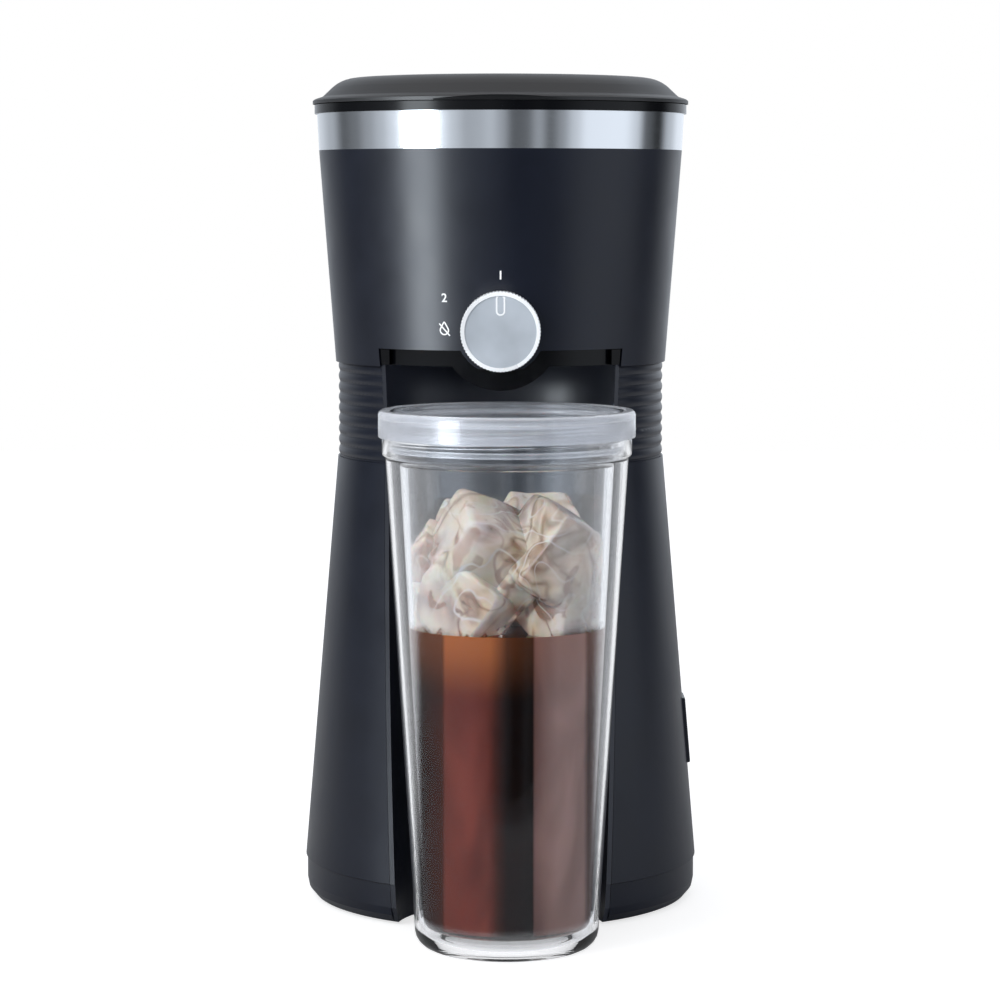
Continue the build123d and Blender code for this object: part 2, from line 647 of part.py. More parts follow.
def knob_cam():
    corners = []
    for step in range(120):
        turn = 3.0 * step
        radius = cam_radius(turn)
        corners.append((radius * sin(radians(turn)), radius * cos(radians(turn))))
    outline = Plane.XZ * make_face(Polyline(corners, close=True))
    cam = Pos(0, CAM_FRONT_Y + CAM_THICK, KNOB_Z) * extrude(outline, CAM_THICK)
    return cam - lying(SHAFT_RADIUS + PRESS_GAP, -FAR, OUTLET_Y, z=KNOB_Z)


# Drip valve

def lifter_bottom():
    """Height of the lifter's bar, over the cam at its highest."""
    return KNOB_Z + CAM_HIGH_RADIUS + SEAT_GAP + NOSE_RADIUS


def valve_lifter():
    bottom = lifter_bottom()
    front = CAM_FRONT_Y + 0.3
    bar = block((-3, 3), (front, OUTLET_Y + 3), (bottom, bottom + LIFTER_THICK))
    nose = lying(NOSE_RADIUS, front, CAM_FRONT_Y + CAM_THICK - 0.3, z=bottom)
    tail_bottom = guide_bottom() - 2
    return bar + nose + disc(TAIL_RADIUS, tail_bottom, bottom + 0.5, y=OUTLET_Y)


def seal_bottom():
    """Height of the seal's underside with the valve open."""
    return BASKET_BOTTOM + BASKET_WALL + FACE_GAP + LIFT


def stem_bottom():
    """Height of the stem's foot, on the lifter's bar."""
    return lifter_bottom() + LIFTER_THICK


def valve_stem():
    top = seal_bottom() + SEAL_THICK
    stem = disc(STEM_RADIUS, stem_bottom(), top, y=OUTLET_Y)
    return stem + disc(STEM_RADIUS + 1, stem_bottom(), stem_bottom() + STEM_FOOT, y=OUTLET_Y)


def valve_seal():
    bottom = seal_bottom()
    return tube(SEAL_RADIUS, STEM_RADIUS + PRESS_GAP, bottom, bottom + SEAL_THICK, y=OUTLET_Y)


def clip_bottom():
    """Height of the clip that the spring pushes on."""
    return stem_bottom() + STEM_FOOT + 0.1


def stem_clip():
    bottom = clip_bottom()
    return tube(SPRING_RADIUS + 0.9, STEM_RADIUS + PRESS_GAP, bottom, bottom + CLIP_THICK, y=OUTLET_Y)


def valve_spring():
    bottom = clip_bottom() + CLIP_THICK + SPRING_WIRE / 2 + 0.1
    top = BASKET_BOTTOM - SPRING_WIRE / 2 - 0.1
    pitch = (top - bottom) / SPRING_TURNS
    coil = Helix(pitch=pitch, height=top - bottom, radius=SPRING_RADIUS)
    section = Plane(origin=coil @ 0, z_dir=coil % 0) * Circle(SPRING_WIRE / 2)
    print("valve spring gap between turns", round(pitch - SPRING_WIRE, 3))
    return Pos(0, OUTLET_Y, bottom) * sweep(section, path=coil, is_frenet=True)


# Brew well, basket and filter

def basket_radius(z):
    """Outer radius of the basket at a height."""
    top_radius = WELL_RADIUS - WELL_WALL - 0.6
    share = (z - BASKET_BOTTOM) / (DECK_BOTTOM + DECK_THICK - BASKET_BOTTOM)
    return BASKET_FLOOR_RADIUS + share * (top_radius - BASKET_FLOOR_RADIUS)


def filter_radius(z):
    """Outer radius of the filter's frame at a height."""
    return basket_radius(z) - BASKET_WALL - 0.5


def basket_well():
    inner = WELL_RADIUS - WELL_WALL
    well = disc(WELL_RADIUS, WELL_BOTTOM, DECK_BOTTOM, y=WELL_Y)
    well -= disc(inner, WELL_BOTTOM + WELL_WALL, DECK_BOTTOM, y=WELL_Y)
    return well - disc(WELL_DRAIN_RADIUS, WELL_BOTTOM - 1, WELL_BOTTOM + 5, y=OUTLET_Y)


def brew_basket():
    deck_top = DECK_BOTTOM + DECK_THICK
    outline = [
        (0, BASKET_BOTTOM),
        (BASKET_FLOOR_RADIUS, BASKET_BOTTOM),
        (basket_radius(deck_top), deck_top),
        (WELL_RADIUS, deck_top),
        (WELL_RADIUS, deck_top + BASKET_RIM),
        (basket_radius(deck_top) - BASKET_WALL, deck_top + BASKET_RIM),
        (BASKET_FLOOR_RADIUS - BASKET_WALL, BASKET_BOTTOM + BASKET_WALL),
        (0, BASKET_BOTTOM + BASKET_WALL),
    ]
    basket = revolved(outline, y=WELL_Y)
    foot = BASKET_BOTTOM - WELL_BOTTOM - WELL_WALL
    for angle in (30, 90, 150):
        x, y = on_circle(BASKET_FLOOR_RADIUS - 5, angle, 0, WELL_Y)
        basket += disc(2.5, BASKET_BOTTOM - foot + 0.1, BASKET_BOTTOM + 0.5, x, y)
    return basket - disc(DRAIN_RADIUS, BASKET_BOTTOM - 1, BASKET_BOTTOM + 5, y=OUTLET_Y)


def filter_frame():
    rim_bottom = DECK_BOTTOM + DECK_THICK + BASKET_RIM
    ring = FILTER_WALL + 2 * FILTER_RIB
    high = filter_radius(rim_bottom)
    low = filter_radius(FILTER_BOTTOM)
    frame = tube(WELL_RADIUS - 1.5, high - ring, rim_bottom, rim_bottom + 1.4, y=WELL_Y)
    frame += tube(high, high - FILTER_RIB, rim_bottom - 3, rim_bottom, y=WELL_Y)
    cage = cone(low, high, FILTER_BOTTOM, rim_bottom, y=WELL_Y)
    cage -= cone(low - FILTER_RIB, high - FILTER_RIB, FILTER_BOTTOM, rim_bottom, y=WELL_Y)
    ribs = tube(low, low - 2 * FILTER_RIB, FILTER_BOTTOM, FILTER_BOTTOM + 1.5, y=WELL_Y)
    for index in range(FILTER_RIBS):
        turn = Rot(0, 0, index * 360 / FILTER_RIBS)
        bar = block((0, FAR), (-FILTER_RIB, FILTER_RIB), (FILTER_BOTTOM, rim_bottom))
        ribs += (Pos(0, WELL_Y, 0) * (turn * bar)) & cage
    return frame + ribs


def filter_mesh():
    rim_bottom = DECK_BOTTOM + DECK_THICK + BASKET_RIM
    floor_z = FILTER_BOTTOM + 1.6
    high = filter_radius(rim_bottom) - FILTER_RIB - 0.1
    low = filter_radius(floor_z) - FILTER_RIB - 0.1
    mesh = cone(low, high, floor_z, rim_bottom - 0.1, y=WELL_Y)
    inside = cone(low - FILTER_WALL, high - FILTER_WALL, floor_z, rim_bottom - 0.1, y=WELL_Y)
    return mesh - (inside & disc(FAR, floor_z + FILTER_WALL, rim_bottom + 1, y=WELL_Y))


# Water tank and deck

def tank_plan(shrink, bottom, top):
    """The tank's D-shaped plan as a solid, shrunk."""
    front = TANK_FRONT_Y + shrink
    return disc(TANK_RADIUS - shrink, bottom, top) & block((-FAR, FAR), (front, FAR), (bottom, top))


def water_tank():
    x, y = TANK_OUTLET
    tank = tank_plan(0, TANK_BOTTOM, DECK_BOTTOM)
    tank -= tank_plan(TANK_WALL, TANK_BOTTOM + TANK_WALL, DECK_BOTTOM)
    tank += disc(TANK_STUB_RADIUS, TANK_BOTTOM - TANK_STUB_LENGTH, TANK_BOTTOM + 0.5, x, y)
    tank -= disc(TANK_STUB_BORE, TANK_BOTTOM - TANK_STUB_LENGTH - 1, TANK_BOTTOM + 3, x, y)
    return tank


def tank_strainer():
    x, y = TANK_OUTLET
    floor_top = TANK_BOTTOM + TANK_WALL
    strainer = disc(TANK_STUB_BORE + 2.5, floor_top + 0.1, floor_top + 1.6, x, y)
    for index in range(6):
        hole_x, hole_y = on_circle(2.4, 60 * index, x, y)
        strainer -= disc(0.8, floor_top - 1, floor_top + 3, hole_x, hole_y)
    return strainer


def check_valve():
    x, y = TANK_OUTLET
    bottom = TANK_BOTTOM - TANK_STUB_LENGTH + 2
    valve = tube(TANK_STUB_BORE - 0.05, 2.4, bottom, bottom + 6, x, y)
    valve -= disc(TANK_STUB_BORE - 0.8, bottom + 2, bottom + 7, x, y)
    return [valve, Pos(x, y, bottom + 4.4) * Sphere(2.4)]


def top_deck():
    deck = disc(COLLAR_INNER - SEAT_GAP, DECK_BOTTOM, DECK_BOTTOM + DECK_THICK)
    deck -= tank_plan(TANK_WALL, DECK_BOTTOM - 1, DECK_BOTTOM + DECK_THICK + 1)
    deck -= disc(WELL_RADIUS - WELL_WALL, DECK_BOTTOM - 1, DECK_BOTTOM + DECK_THICK + 1, y=WELL_Y)
    return deck - disc(WATER_TUBE_RADIUS + 0.1, DECK_BOTTOM - 1, DECK_BOTTOM + 5, *RISER)


# Heater and water path

def heater_path(leg_end):
    """Centre line of a heater tube: two legs and the bend between them."""
    left = Line((-HEATER_BEND, leg_end, 0), (-HEATER_BEND, HEATER_Y, 0))
    start = (-HEATER_BEND, HEATER_Y, 0)
    bend = ThreePointArc(start, (0, HEATER_Y + HEATER_BEND, 0), (HEATER_BEND, HEATER_Y, 0))
    right = Line((HEATER_BEND, HEATER_Y, 0), (HEATER_BEND, leg_end, 0))
    return Wire([left.edge(), bend.edge(), right.edge()])


def bent_tube(leg_end, radius, bore, z):
    """A heater tube at a height."""
    path = heater_path(leg_end)
    section = Circle(radius)
    if bore:
        section -= Circle(bore)
    solid = sweep(Plane(origin=path @ 0, z_dir=path % 0) * section, path=path)
    return Pos(0, 0, z) * solid


def element_z():
    """Height of the heating element, on top of the water tube."""
    return HEATER_Z + WATER_TUBE_RADIUS + ELEMENT_RADIUS + 0.05


def water_tube():
    return bent_tube(HEATER_Y - HEATER_LEG - HOSE_OVERLAP, WATER_TUBE_RADIUS, WATER_TUBE_BORE, HEATER_Z)


def heating_element():
    leg_end = HEATER_Y - HEATER_LEG + 2
    element = bent_tube(leg_end, ELEMENT_RADIUS, 0, element_z())
    for x in (-HEATER_BEND, HEATER_BEND):
        element += lying(WIRE_RADIUS, leg_end - 5, leg_end + 1, x, element_z())
    return element


def bracket_bottom():
    """Height of the heater bracket's underside, under the water tube."""
    return HEATER_Z - WATER_TUBE_RADIUS - STRAP_THICK - 0.1


def strap_bottom():
    """Height of the strap's underside, over the element."""
    return element_z() + ELEMENT_RADIUS + 0.1


def heater_bracket():
    bottom = bracket_bottom()
    reach = HEATER_BEND + 4
    y_span = (STRAP_Y - STRAP_WIDTH / 2, STRAP_Y + STRAP_WIDTH / 2)
    plate = block((-reach, reach), y_span, (bottom, bottom + STRAP_THICK))
    plate += disc(THERMOSTAT_RADIUS + 1, bottom, bottom + STRAP_THICK, y=STRAP_Y)
    for x in (-BRACKET_HOLE_X, BRACKET_HOLE_X):
        plate -= disc(SCREW_RADIUS + SEAT_GAP, 0, FAR, x, STRAP_Y)
    return plate


def heater_strap():
    bottom = strap_bottom()
    reach = HEATER_BEND + 4
    y_span = (STRAP_Y - STRAP_WIDTH / 2, STRAP_Y + STRAP_WIDTH / 2)
    strap = block((-reach, reach), y_span, (bottom, bottom + STRAP_THICK))
    for x in (-BRACKET_HOLE_X, BRACKET_HOLE_X):
        strap -= disc(SCREW_RADIUS + SEAT_GAP, 0, FAR, x, STRAP_Y)
    return strap


def heater_screws():
    bottom = PAN_BOTTOM + WALL + 1.5
    top = strap_bottom() + STRAP_THICK
    screws = []
    for x in (-BRACKET_HOLE_X, BRACKET_HOLE_X):
        screw = disc(SCREW_RADIUS, bottom, top + 1, x, STRAP_Y)
        screws.append(screw + disc(SCREW_HEAD_RADIUS, top, top + 1.8, x, STRAP_Y))
    return screws


def thermostat():
    bottom = bracket_bottom() + STRAP_THICK
    top = bottom + THERMOSTAT_HEIGHT
    body = disc(THERMOSTAT_RADIUS, bottom, top, y=STRAP_Y)
    for x in (-4, 4):
        body += block((x - 1.5, x + 1.5), (STRAP_Y - 0.4, STRAP_Y + 0.4), (top - 1, top + 5))
    return body


def thermal_fuses():
    z = element_z() + ELEMENT_RADIUS + FUSE_RADIUS + 0.1
    front = HEATER_Y - HEATER_LEG + 4
    return [lying(FUSE_RADIUS, front, front + FUSE_LENGTH, x, z) for x in (-HEATER_BEND, HEATER_BEND)]


def hose_start(x):
    """First points of a hose, from a heater leg forwards and up."""
    leg_end = HEATER_Y - HEATER_LEG
    front = leg_end - 2 * HOSE_OVERLAP
    return [(x, leg_end, HEATER_Z), (x, front, HEATER_Z), (x, front, 70)]


def inlet_hose():
    x, y = TANK_OUTLET
    top = TANK_BOTTOM - TANK_STUB_LENGTH + HOSE_OVERLAP
    points = hose_start(-HEATER_BEND) + [(x, y, 130), (x, y, top)]
    bore = WATER_TUBE_RADIUS + 0.05
    return pipe(points, [9, 40, 40], bore + HOSE_WALL, bore)


def riser_hose():
    x, y = RISER
    points = hose_start(HEATER_BEND) + [(x, y, 130), (x, y, DECK_BOTTOM - 0.2)]
    bore = WATER_TUBE_RADIUS + 0.05
    return pipe(points, [9, 40, 40], bore + HOSE_WALL, bore)


def riser_port():
    x, y = RISER
    deck_top = DECK_BOTTOM + DECK_THICK
    port = disc(WATER_TUBE_RADIUS, DECK_BOTTOM - HOSE_OVERLAP, deck_top + 1, x, y)
    port += disc(WATER_TUBE_RADIUS + 1.0, deck_top, deck_top + 1.5, x, y)
    port += cone(WATER_TUBE_RADIUS, WATER_TUBE_RADIUS - 1.6, deck_top + 1, PORT_TOP, x, y)
    return port - disc(2.4, DECK_BOTTOM - 20, PORT_TOP + 1, x, y)


# Rocker switch

def switch_plane():
    """Plane on the sloping wall: its X runs along +Y, its Y up the wall and its Z outwards."""
    slope = (SHELL_FOOT_RADIUS - SHELL_TOP_RADIUS) / (SHELL_TOP - SHELL_BOTTOM)
    origin = (shell_radius(SWITCH_Z), 0, SWITCH_Z)
    return Plane(origin=origin, x_dir=(0, 1, 0), z_dir=(1, 0, slope))


def body_width():
    """Width of the switch's body, behind its flange."""
    return SWITCH_WIDTH - 1.6


def body_height():
    """Height of the switch's body, behind its flange."""
    return SWITCH_HEIGHT - 1.8


def rocker_room():
    """Half the height of the opening that the rocker swings in."""
    return ROCKER_HALF + 0.85


def switch_housing():
    flange_back = SWITCH_PROUD - SWITCH_FLANGE
    plane = switch_plane()
    flange = Pos(0, 0, flange_back) * Box(SWITCH_WIDTH, SWITCH_HEIGHT, SWITCH_FLANGE, align=LOW)
    flange = chamfer(flange.faces().sort_by(Axis.Z)[-1].edges(), 0.4)
    body = Box(body_width(), body_height(), SWITCH_DEPTH, align=LOW)
    body = Pos(0, 0, flange_back - SWITCH_DEPTH) * body
    opening_width = ROCKER_WIDTH + 2 * FACE_GAP
    opening = Pos(0, 0, -8.5) * Box(opening_width, 2 * rocker_room(), 20, align=LOW)
    reach = ROCKER_WIDTH / 2 + 1.0
    pivots = crosswise(TRUNNION_RADIUS + RUNNING_GAP, -reach, reach, 0, -ROCKER_PIVOT)
    return plane * (flange + body - opening - pivots)


def switch_rocker():
    half = ROCKER_HALF
    outline = [(-half, -0.6), (0, -1.3), (half, -0.6), (half, -2.6), (3, -6.5), (-3, -6.5), (-half, -2.6)]
    profile = Plane.YZ * make_face(Polyline(outline, close=True))
    rocker = Pos(-ROCKER_WIDTH / 2, 0, 0) * extrude(profile, ROCKER_WIDTH)
    reach = ROCKER_WIDTH / 2 + 0.8
    rocker += crosswise(TRUNNION_RADIUS, -reach, reach, 0, -ROCKER_PIVOT)
    pivot = Pos(0, 0, -ROCKER_PIVOT)
    return switch_plane() * (pivot * (Rot(ROCKER_TILT, 0, 0) * (Pos(0, 0, ROCKER_PIVOT) * rocker)))


def terminal_back():
    """Depth of the switch's back face behind the wall."""
    return SWITCH_PROUD - SWITCH_FLANGE - SWITCH_DEPTH


def switch_terminals():
    blades = []
    for offset in (-7, 0, 7):
        blade = Pos(0, offset, terminal_back() - 7) * Box(4.8, 0.8, 7, align=LOW)
        blades.append(switch_plane() * blade)
    return blades


# Cord gland

def cord_gland():
    inner_face = shell_radius(GLAND_Z) - WALL
    outer_face = shell_radius(GLAND_Z - GLAND_FLANGE) + 0.1
    gland = lying(GLAND_RADIUS, inner_face - GLAND_INSIDE, outer_face + 1.8, z=GLAND_Z)
    gland += lying(GLAND_FLANGE, outer_face, outer_face + 1.8, z=GLAND_Z)
    lock_back = sqrt(inner_face ** 2 - GLAND_FLANGE ** 2) - 1.0
    gland += lying(GLAND_RADIUS + 1.5, inner_face - GLAND_INSIDE, lock_back, z=GLAND_Z)
    return gland - lying(GLAND_BORE, inner_face / 2, FAR, z=GLAND_Z)


# Wiring from the switch to the two ends of the element

def wiring():
    plane = switch_plane()
    low_end = (plane * Pos(0, -7, terminal_back() - 7.2)).position
    high_end = (plane * Pos(0, 7, terminal_back() - 7.2)).position
    lead_y = HEATER_Y - HEATER_LEG - 3.2
    near = (HEATER_BEND, lead_y, element_z())
    far = (-HEATER_BEND, lead_y, element_z())
    clear_y = lead_y - 4
    first = [
        tuple(low_end),
        (low_end.X - 8, low_end.Y, low_end.Z - 1),
        (44, clear_y, 40),
        (44, clear_y, near[2] + 2),
        (near[0] + 5, lead_y - 3, near[2]),
        (near[0], lead_y - 2, near[2]),
    ]
    second = [
        tuple(high_end),
        (high_end.X - 10, high_end.Y, high_end.Z - 1),
        (16, 6, 60),
        (-14, 2, 44),
        (-16, lead_y, far[2] + 2),
        (far[0] + 6, lead_y, far[2]),
    ]
    return [pipe(first, [4, 6, 5, 2], WIRE_RADIUS), pipe(second, [5, 8, 8, 4], WIRE_RADIUS)]


# Lid

def lid_cover():
    bottom = LID_BOTTOM
    crown_edge = LID_TOP - 0.6
    step_inner = LID_STEP_RADIUS - LID_WALL
    flat = (LID_CROWN_RADIUS - 7.3, 0, LID_TOP)
    bend = (LID_CROWN_RADIUS, 0, LID_STEP_TOP + 0.83 * LID_CROWN)
    slope = (LID_STEP_RADIUS - 3.85, 0, LID_STEP_TOP + LID_CROWN / 2)
    outline = [
        (slope[0], slope[2]),
        (LID_STEP_RADIUS - 0.9, LID_STEP_TOP + 0.8),
        (LID_STEP_RADIUS, LID_STEP_TOP),
        (LID_RADIUS - 0.8, LID_LIP_TOP),
        (LID_RADIUS, LID_LIP_TOP - 0.6),
        (LID_RADIUS, bottom),
        (step_inner, bottom),
        (step_inner, LID_STEP_TOP - 1.0),
        (LID_CROWN_RADIUS - 1.0, crown_edge - LID_WALL),
        (0, LID_TOP - LID_WALL),
        (0, LID_TOP),
        (flat[0], LID_TOP),
    ]
    edges = [Polyline([(r, 0, z) for r, z in outline]), ThreePointArc(flat, bend, slope)]
    cover = revolve(make_face(edges), axis=Axis.Z)
    plate_top = LID_PLATE_BOTTOM + LID_PLATE_THICK
    for x, y in lid_screw_points():
        cover += disc(3.4, plate_top + 0.1, LID_TOP - 1, x, y)
        cover -= disc(SCREW_RADIUS + PRESS_GAP, plate_top - 1, plate_top + 7, x, y)
    half = KNUCKLE_HALF
    tongue_top = HINGE_Z + 2.4
    cover += block((-half, half), (LID_STEP_RADIUS, HINGE_Y), (bottom, tongue_top))
    cover += crosswise(KNUCKLE_RADIUS, -half, half, HINGE_Y, HINGE_Z)
    cover -= crosswise(PIN_RADIUS + RUNNING_GAP, -half - 1, half + 1, HINGE_Y, HINGE_Z)
    scoop_radius = ((NOTCH_WIDTH / 2) ** 2 + NOTCH_HEIGHT ** 2) / (2 * NOTCH_HEIGHT)
    scoop_z = bottom + NOTCH_HEIGHT - scoop_radius
    scoop = lying(scoop_radius, -LID_RADIUS - 1, -LID_STEP_RADIUS + 0.6, z=scoop_z)
    return cover - (scoop & disc(LID_RADIUS + 5, bottom - 5, bottom + NOTCH_HEIGHT + 1))


def lid_screw_points():
    """Plan points of the screws between the lid's plate and its cover."""
    return [on_circle(LID_SCREW_RADIUS, angle) for angle in (45, 135, 225, 315)]


def port_gap_radius():
    """Bore of the lid's water port, round the riser's tip."""
    return WATER_TUBE_RADIUS + 0.6


def lid_inner():
    bottom = LID_PLATE_BOTTOM
    plate_top = bottom + LID_PLATE_THICK
    outline = [
        (0, bottom),
        (LID_PLATE_RADIUS, bottom),
        (LID_PLATE_RADIUS, plate_top + 2.4),
        (LID_PLATE_RADIUS - 1.6, plate_top + 2.4),
        (LID_PLATE_RADIUS - 1.6, plate_top),
        (0, plate_top),
    ]
    plate = revolved(outline)
    x, y = RISER
    plate += disc(port_gap_radius() + 1.6, PORT_TOP - 2.0, bottom + 0.5, x, y)
    plate -= disc(port_gap_radius(), PORT_TOP - 3, plate_top - 0.8, x, y)
    plate -= disc(SPRAY_RADIUS - 4, bottom - 1, plate_top - 0.8, y=WELL_Y)
    channel = Line((x, y, 0), (0, WELL_Y, 0))
    turn = degrees(asin((y - WELL_Y) / channel.length))
    duct = block((0, channel.length), (-3, 3), (bottom - 1, plate_top - 0.8))
    plate -= Pos(0, WELL_Y, 0) * (Rot(0, 0, turn) * duct)
    duct_floor = block((SPRAY_RADIUS, channel.length - 7), (-4.6, 4.6), (bottom - 1.2, bottom - 0.1))
    plate += Pos(0, WELL_Y, 0) * (Rot(0, 0, turn) * (duct_floor + duct_sides(channel.length - 7)))
    for x, y in lid_screw_points():
        plate -= disc(SCREW_RADIUS + SEAT_GAP, bottom - 1, plate_top + 1, x, y)
    return plate


def duct_sides(length):
    """Side walls that carry the duct's floor under the lid's plate."""
    z_span = (LID_PLATE_BOTTOM - 1.2, LID_PLATE_BOTTOM + 0.2)
    left = block((SPRAY_RADIUS, length), (-4.6, -3.4), z_span)
    return left + block((SPRAY_RADIUS, length), (3.4, 4.6), z_span)


def lid_screws():
    bottom = LID_PLATE_BOTTOM - 1.4
    screws = []
    for x, y in lid_screw_points():
        screw = disc(SCREW_HEAD_RADIUS, bottom, LID_PLATE_BOTTOM, x, y)
        screw += disc(SCREW_RADIUS, bottom, LID_PLATE_BOTTOM + 7, x, y)
        screw -= Pos(x, y, bottom) * Box(3.6, 0.7, 1.0)
        screw -= Pos(x, y, bottom) * Box(0.7, 3.6, 1.0)
        screws.append(screw)
    return screws


def lid_seal():
    outer = COLLAR_INNER - FACE_GAP
    return tube(outer, LID_PLATE_RADIUS + 0.05, LID_PLATE_BOTTOM + 0.4, COLLAR_TOP - 0.4)


def spray_disc():
    top = LID_PLATE_BOTTOM - 0.05
    dish = disc(SPRAY_RADIUS, SPRAY_BOTTOM, top, y=WELL_Y)
    dish -= disc(SPRAY_RADIUS - 1.6, SPRAY_BOTTOM + 1.4, top, y=WELL_Y)
    for count, radius in ((1, 0), (6, 7), (12, 14)):
        for index in range(count):
            x, y = on_circle(radius, index * 360 / count, 0, WELL_Y)
            dish -= disc(SPRAY_HOLE, SPRAY_BOTTOM - 1, SPRAY_BOTTOM + 3, x, y)
    return dish


def port_seal():
    top = LID_PLATE_BOTTOM + LID_PLATE_THICK - 0.85
    bottom = PORT_TOP + 0.4
    return tube(port_gap_radius() - 0.05, 3.0, bottom, min(bottom + 1.2, top), *RISER)


# Tumbler

def tumbler_radius(z):
    """Outer radius of the tumbler's wall below its shoulder."""
    share = z / TUMBLER_SHOULDER_Z
    return TUMBLER_FOOT_RADIUS + share * (TUMBLER_SHOULDER_RADIUS - TUMBLER_FOOT_RADIUS)


def shell_top():
    """Height where the tumbler's outer shell ends, under the rim."""
    return TUMBLER_HEIGHT - 3.2


def tumbler_shell():
    foot = TUMBLER_FOOT_RADIUS
    corner = TUMBLER_CORNER
    shoulder = TUMBLER_SHOULDER_Z
    arc_mid = corner * (1 - sin(radians(45)))
    wall = TUMBLER_WALL
    edges = [
        Line((0, 0, 1.2), (foot - corner - 4, 0, 1.2)),
        Line((foot - corner - 4, 0, 1.2), (foot - corner - 3, 0, 0)),
        Line((foot - corner - 3, 0, 0), (foot - corner, 0, 0)),
        ThreePointArc(
            (foot - corner, 0, 0),
            (foot - arc_mid + 0.1, 0, arc_mid),
            (tumbler_radius(corner), 0, corner),
        ),
        Line((tumbler_radius(corner), 0, corner), (TUMBLER_SHOULDER_RADIUS, 0, shoulder)),
        Line((TUMBLER_SHOULDER_RADIUS, 0, shoulder), (TUMBLER_NECK_RADIUS, 0, shoulder + 1.2)),
        Line((TUMBLER_NECK_RADIUS, 0, shoulder + 1.2), (TUMBLER_NECK_RADIUS, 0, shell_top())),
        Line((TUMBLER_NECK_RADIUS, 0, shell_top()), (TUMBLER_NECK_RADIUS - wall, 0, shell_top())),
        Line(
            (TUMBLER_NECK_RADIUS - wall, 0, shell_top()),
            (TUMBLER_NECK_RADIUS - wall, 0, shoulder + 1.2),
        ),
        Line(
            (TUMBLER_NECK_RADIUS - wall, 0, shoulder + 1.2),
            (TUMBLER_SHOULDER_RADIUS - wall, 0, shoulder),
        ),
        Line((TUMBLER_SHOULDER_RADIUS - wall, 0, shoulder), (tumbler_radius(corner) - wall, 0, corner)),
        ThreePointArc(
            (tumbler_radius(corner) - wall, 0, corner),
            (foot - arc_mid - wall * 0.9, 0, arc_mid + wall * 0.9),
            (foot - corner, 0, wall + 1.2),
        ),
        Line((foot - corner, 0, wall + 1.2), (0, 0, wall + 1.2)),
        Line((0, 0, wall + 1.2), (0, 0, 1.2)),
    ]
    return Pos(TUMBLER_X, TUMBLER_Y, 0) * revolve(make_face(edges), axis=Axis.Z)


def tumbler_cup():
    top = TUMBLER_HEIGHT
    shoulder = TUMBLER_SHOULDER_Z
    wall = CUP_WALL
    lip_inner = TUMBLER_RIM_RADIUS - TUMBLER_LIP_WALL
    under_rim = shell_top() + 0.1
    outline = [
        (0, CUP_FLOOR_Z - wall),
        (CUP_FLOOR_RADIUS, CUP_FLOOR_Z - wall),
        (CUP_FLOOR_RADIUS + wall, CUP_FLOOR_Z),
        (CUP_SHOULDER_RADIUS + wall, shoulder - 2),
        (CUP_MOUTH_RADIUS + wall, shoulder + 1),
        (CUP_MOUTH_RADIUS + wall, under_rim),
        (lip_inner, under_rim),
        (lip_inner, TUMBLER_LIP_Z),
        (TUMBLER_RIM_RADIUS, TUMBLER_LIP_Z),
        (TUMBLER_RIM_RADIUS, top - 1.6),
        (TUMBLER_RIM_RADIUS - 1.0, top - 0.3),
        (TUMBLER_RIM_RADIUS - 2.2, top),
        (CUP_MOUTH_RADIUS + 0.8, top),
        (CUP_MOUTH_RADIUS, top - 0.8),
        (CUP_MOUTH_RADIUS, shoulder + 1),
        (CUP_SHOULDER_RADIUS, shoulder - 2),
        (CUP_FLOOR_RADIUS, CUP_FLOOR_Z + 1.5),
        (CUP_FLOOR_RADIUS - 1.5, CUP_FLOOR_Z),
        (0, CUP_FLOOR_Z),
    ]
    cup = Pos(TUMBLER_X, 0, 0) * revolved(outline, y=TUMBLER_Y)
    height = THREAD_PITCH * THREAD_TURNS
    coil = Helix(pitch=THREAD_PITCH, height=height, radius=CUP_MOUTH_RADIUS + 0.1)
    section = Plane(origin=coil @ 0, z_dir=coil % 0) * RegularPolygon(THREAD_SIZE, 4)
    thread = sweep(section, path=coil, is_frenet=True)
    thread_bottom = shoulder + 3.6
    cup += Pos(TUMBLER_X, TUMBLER_Y, thread_bottom) * thread
    return cup


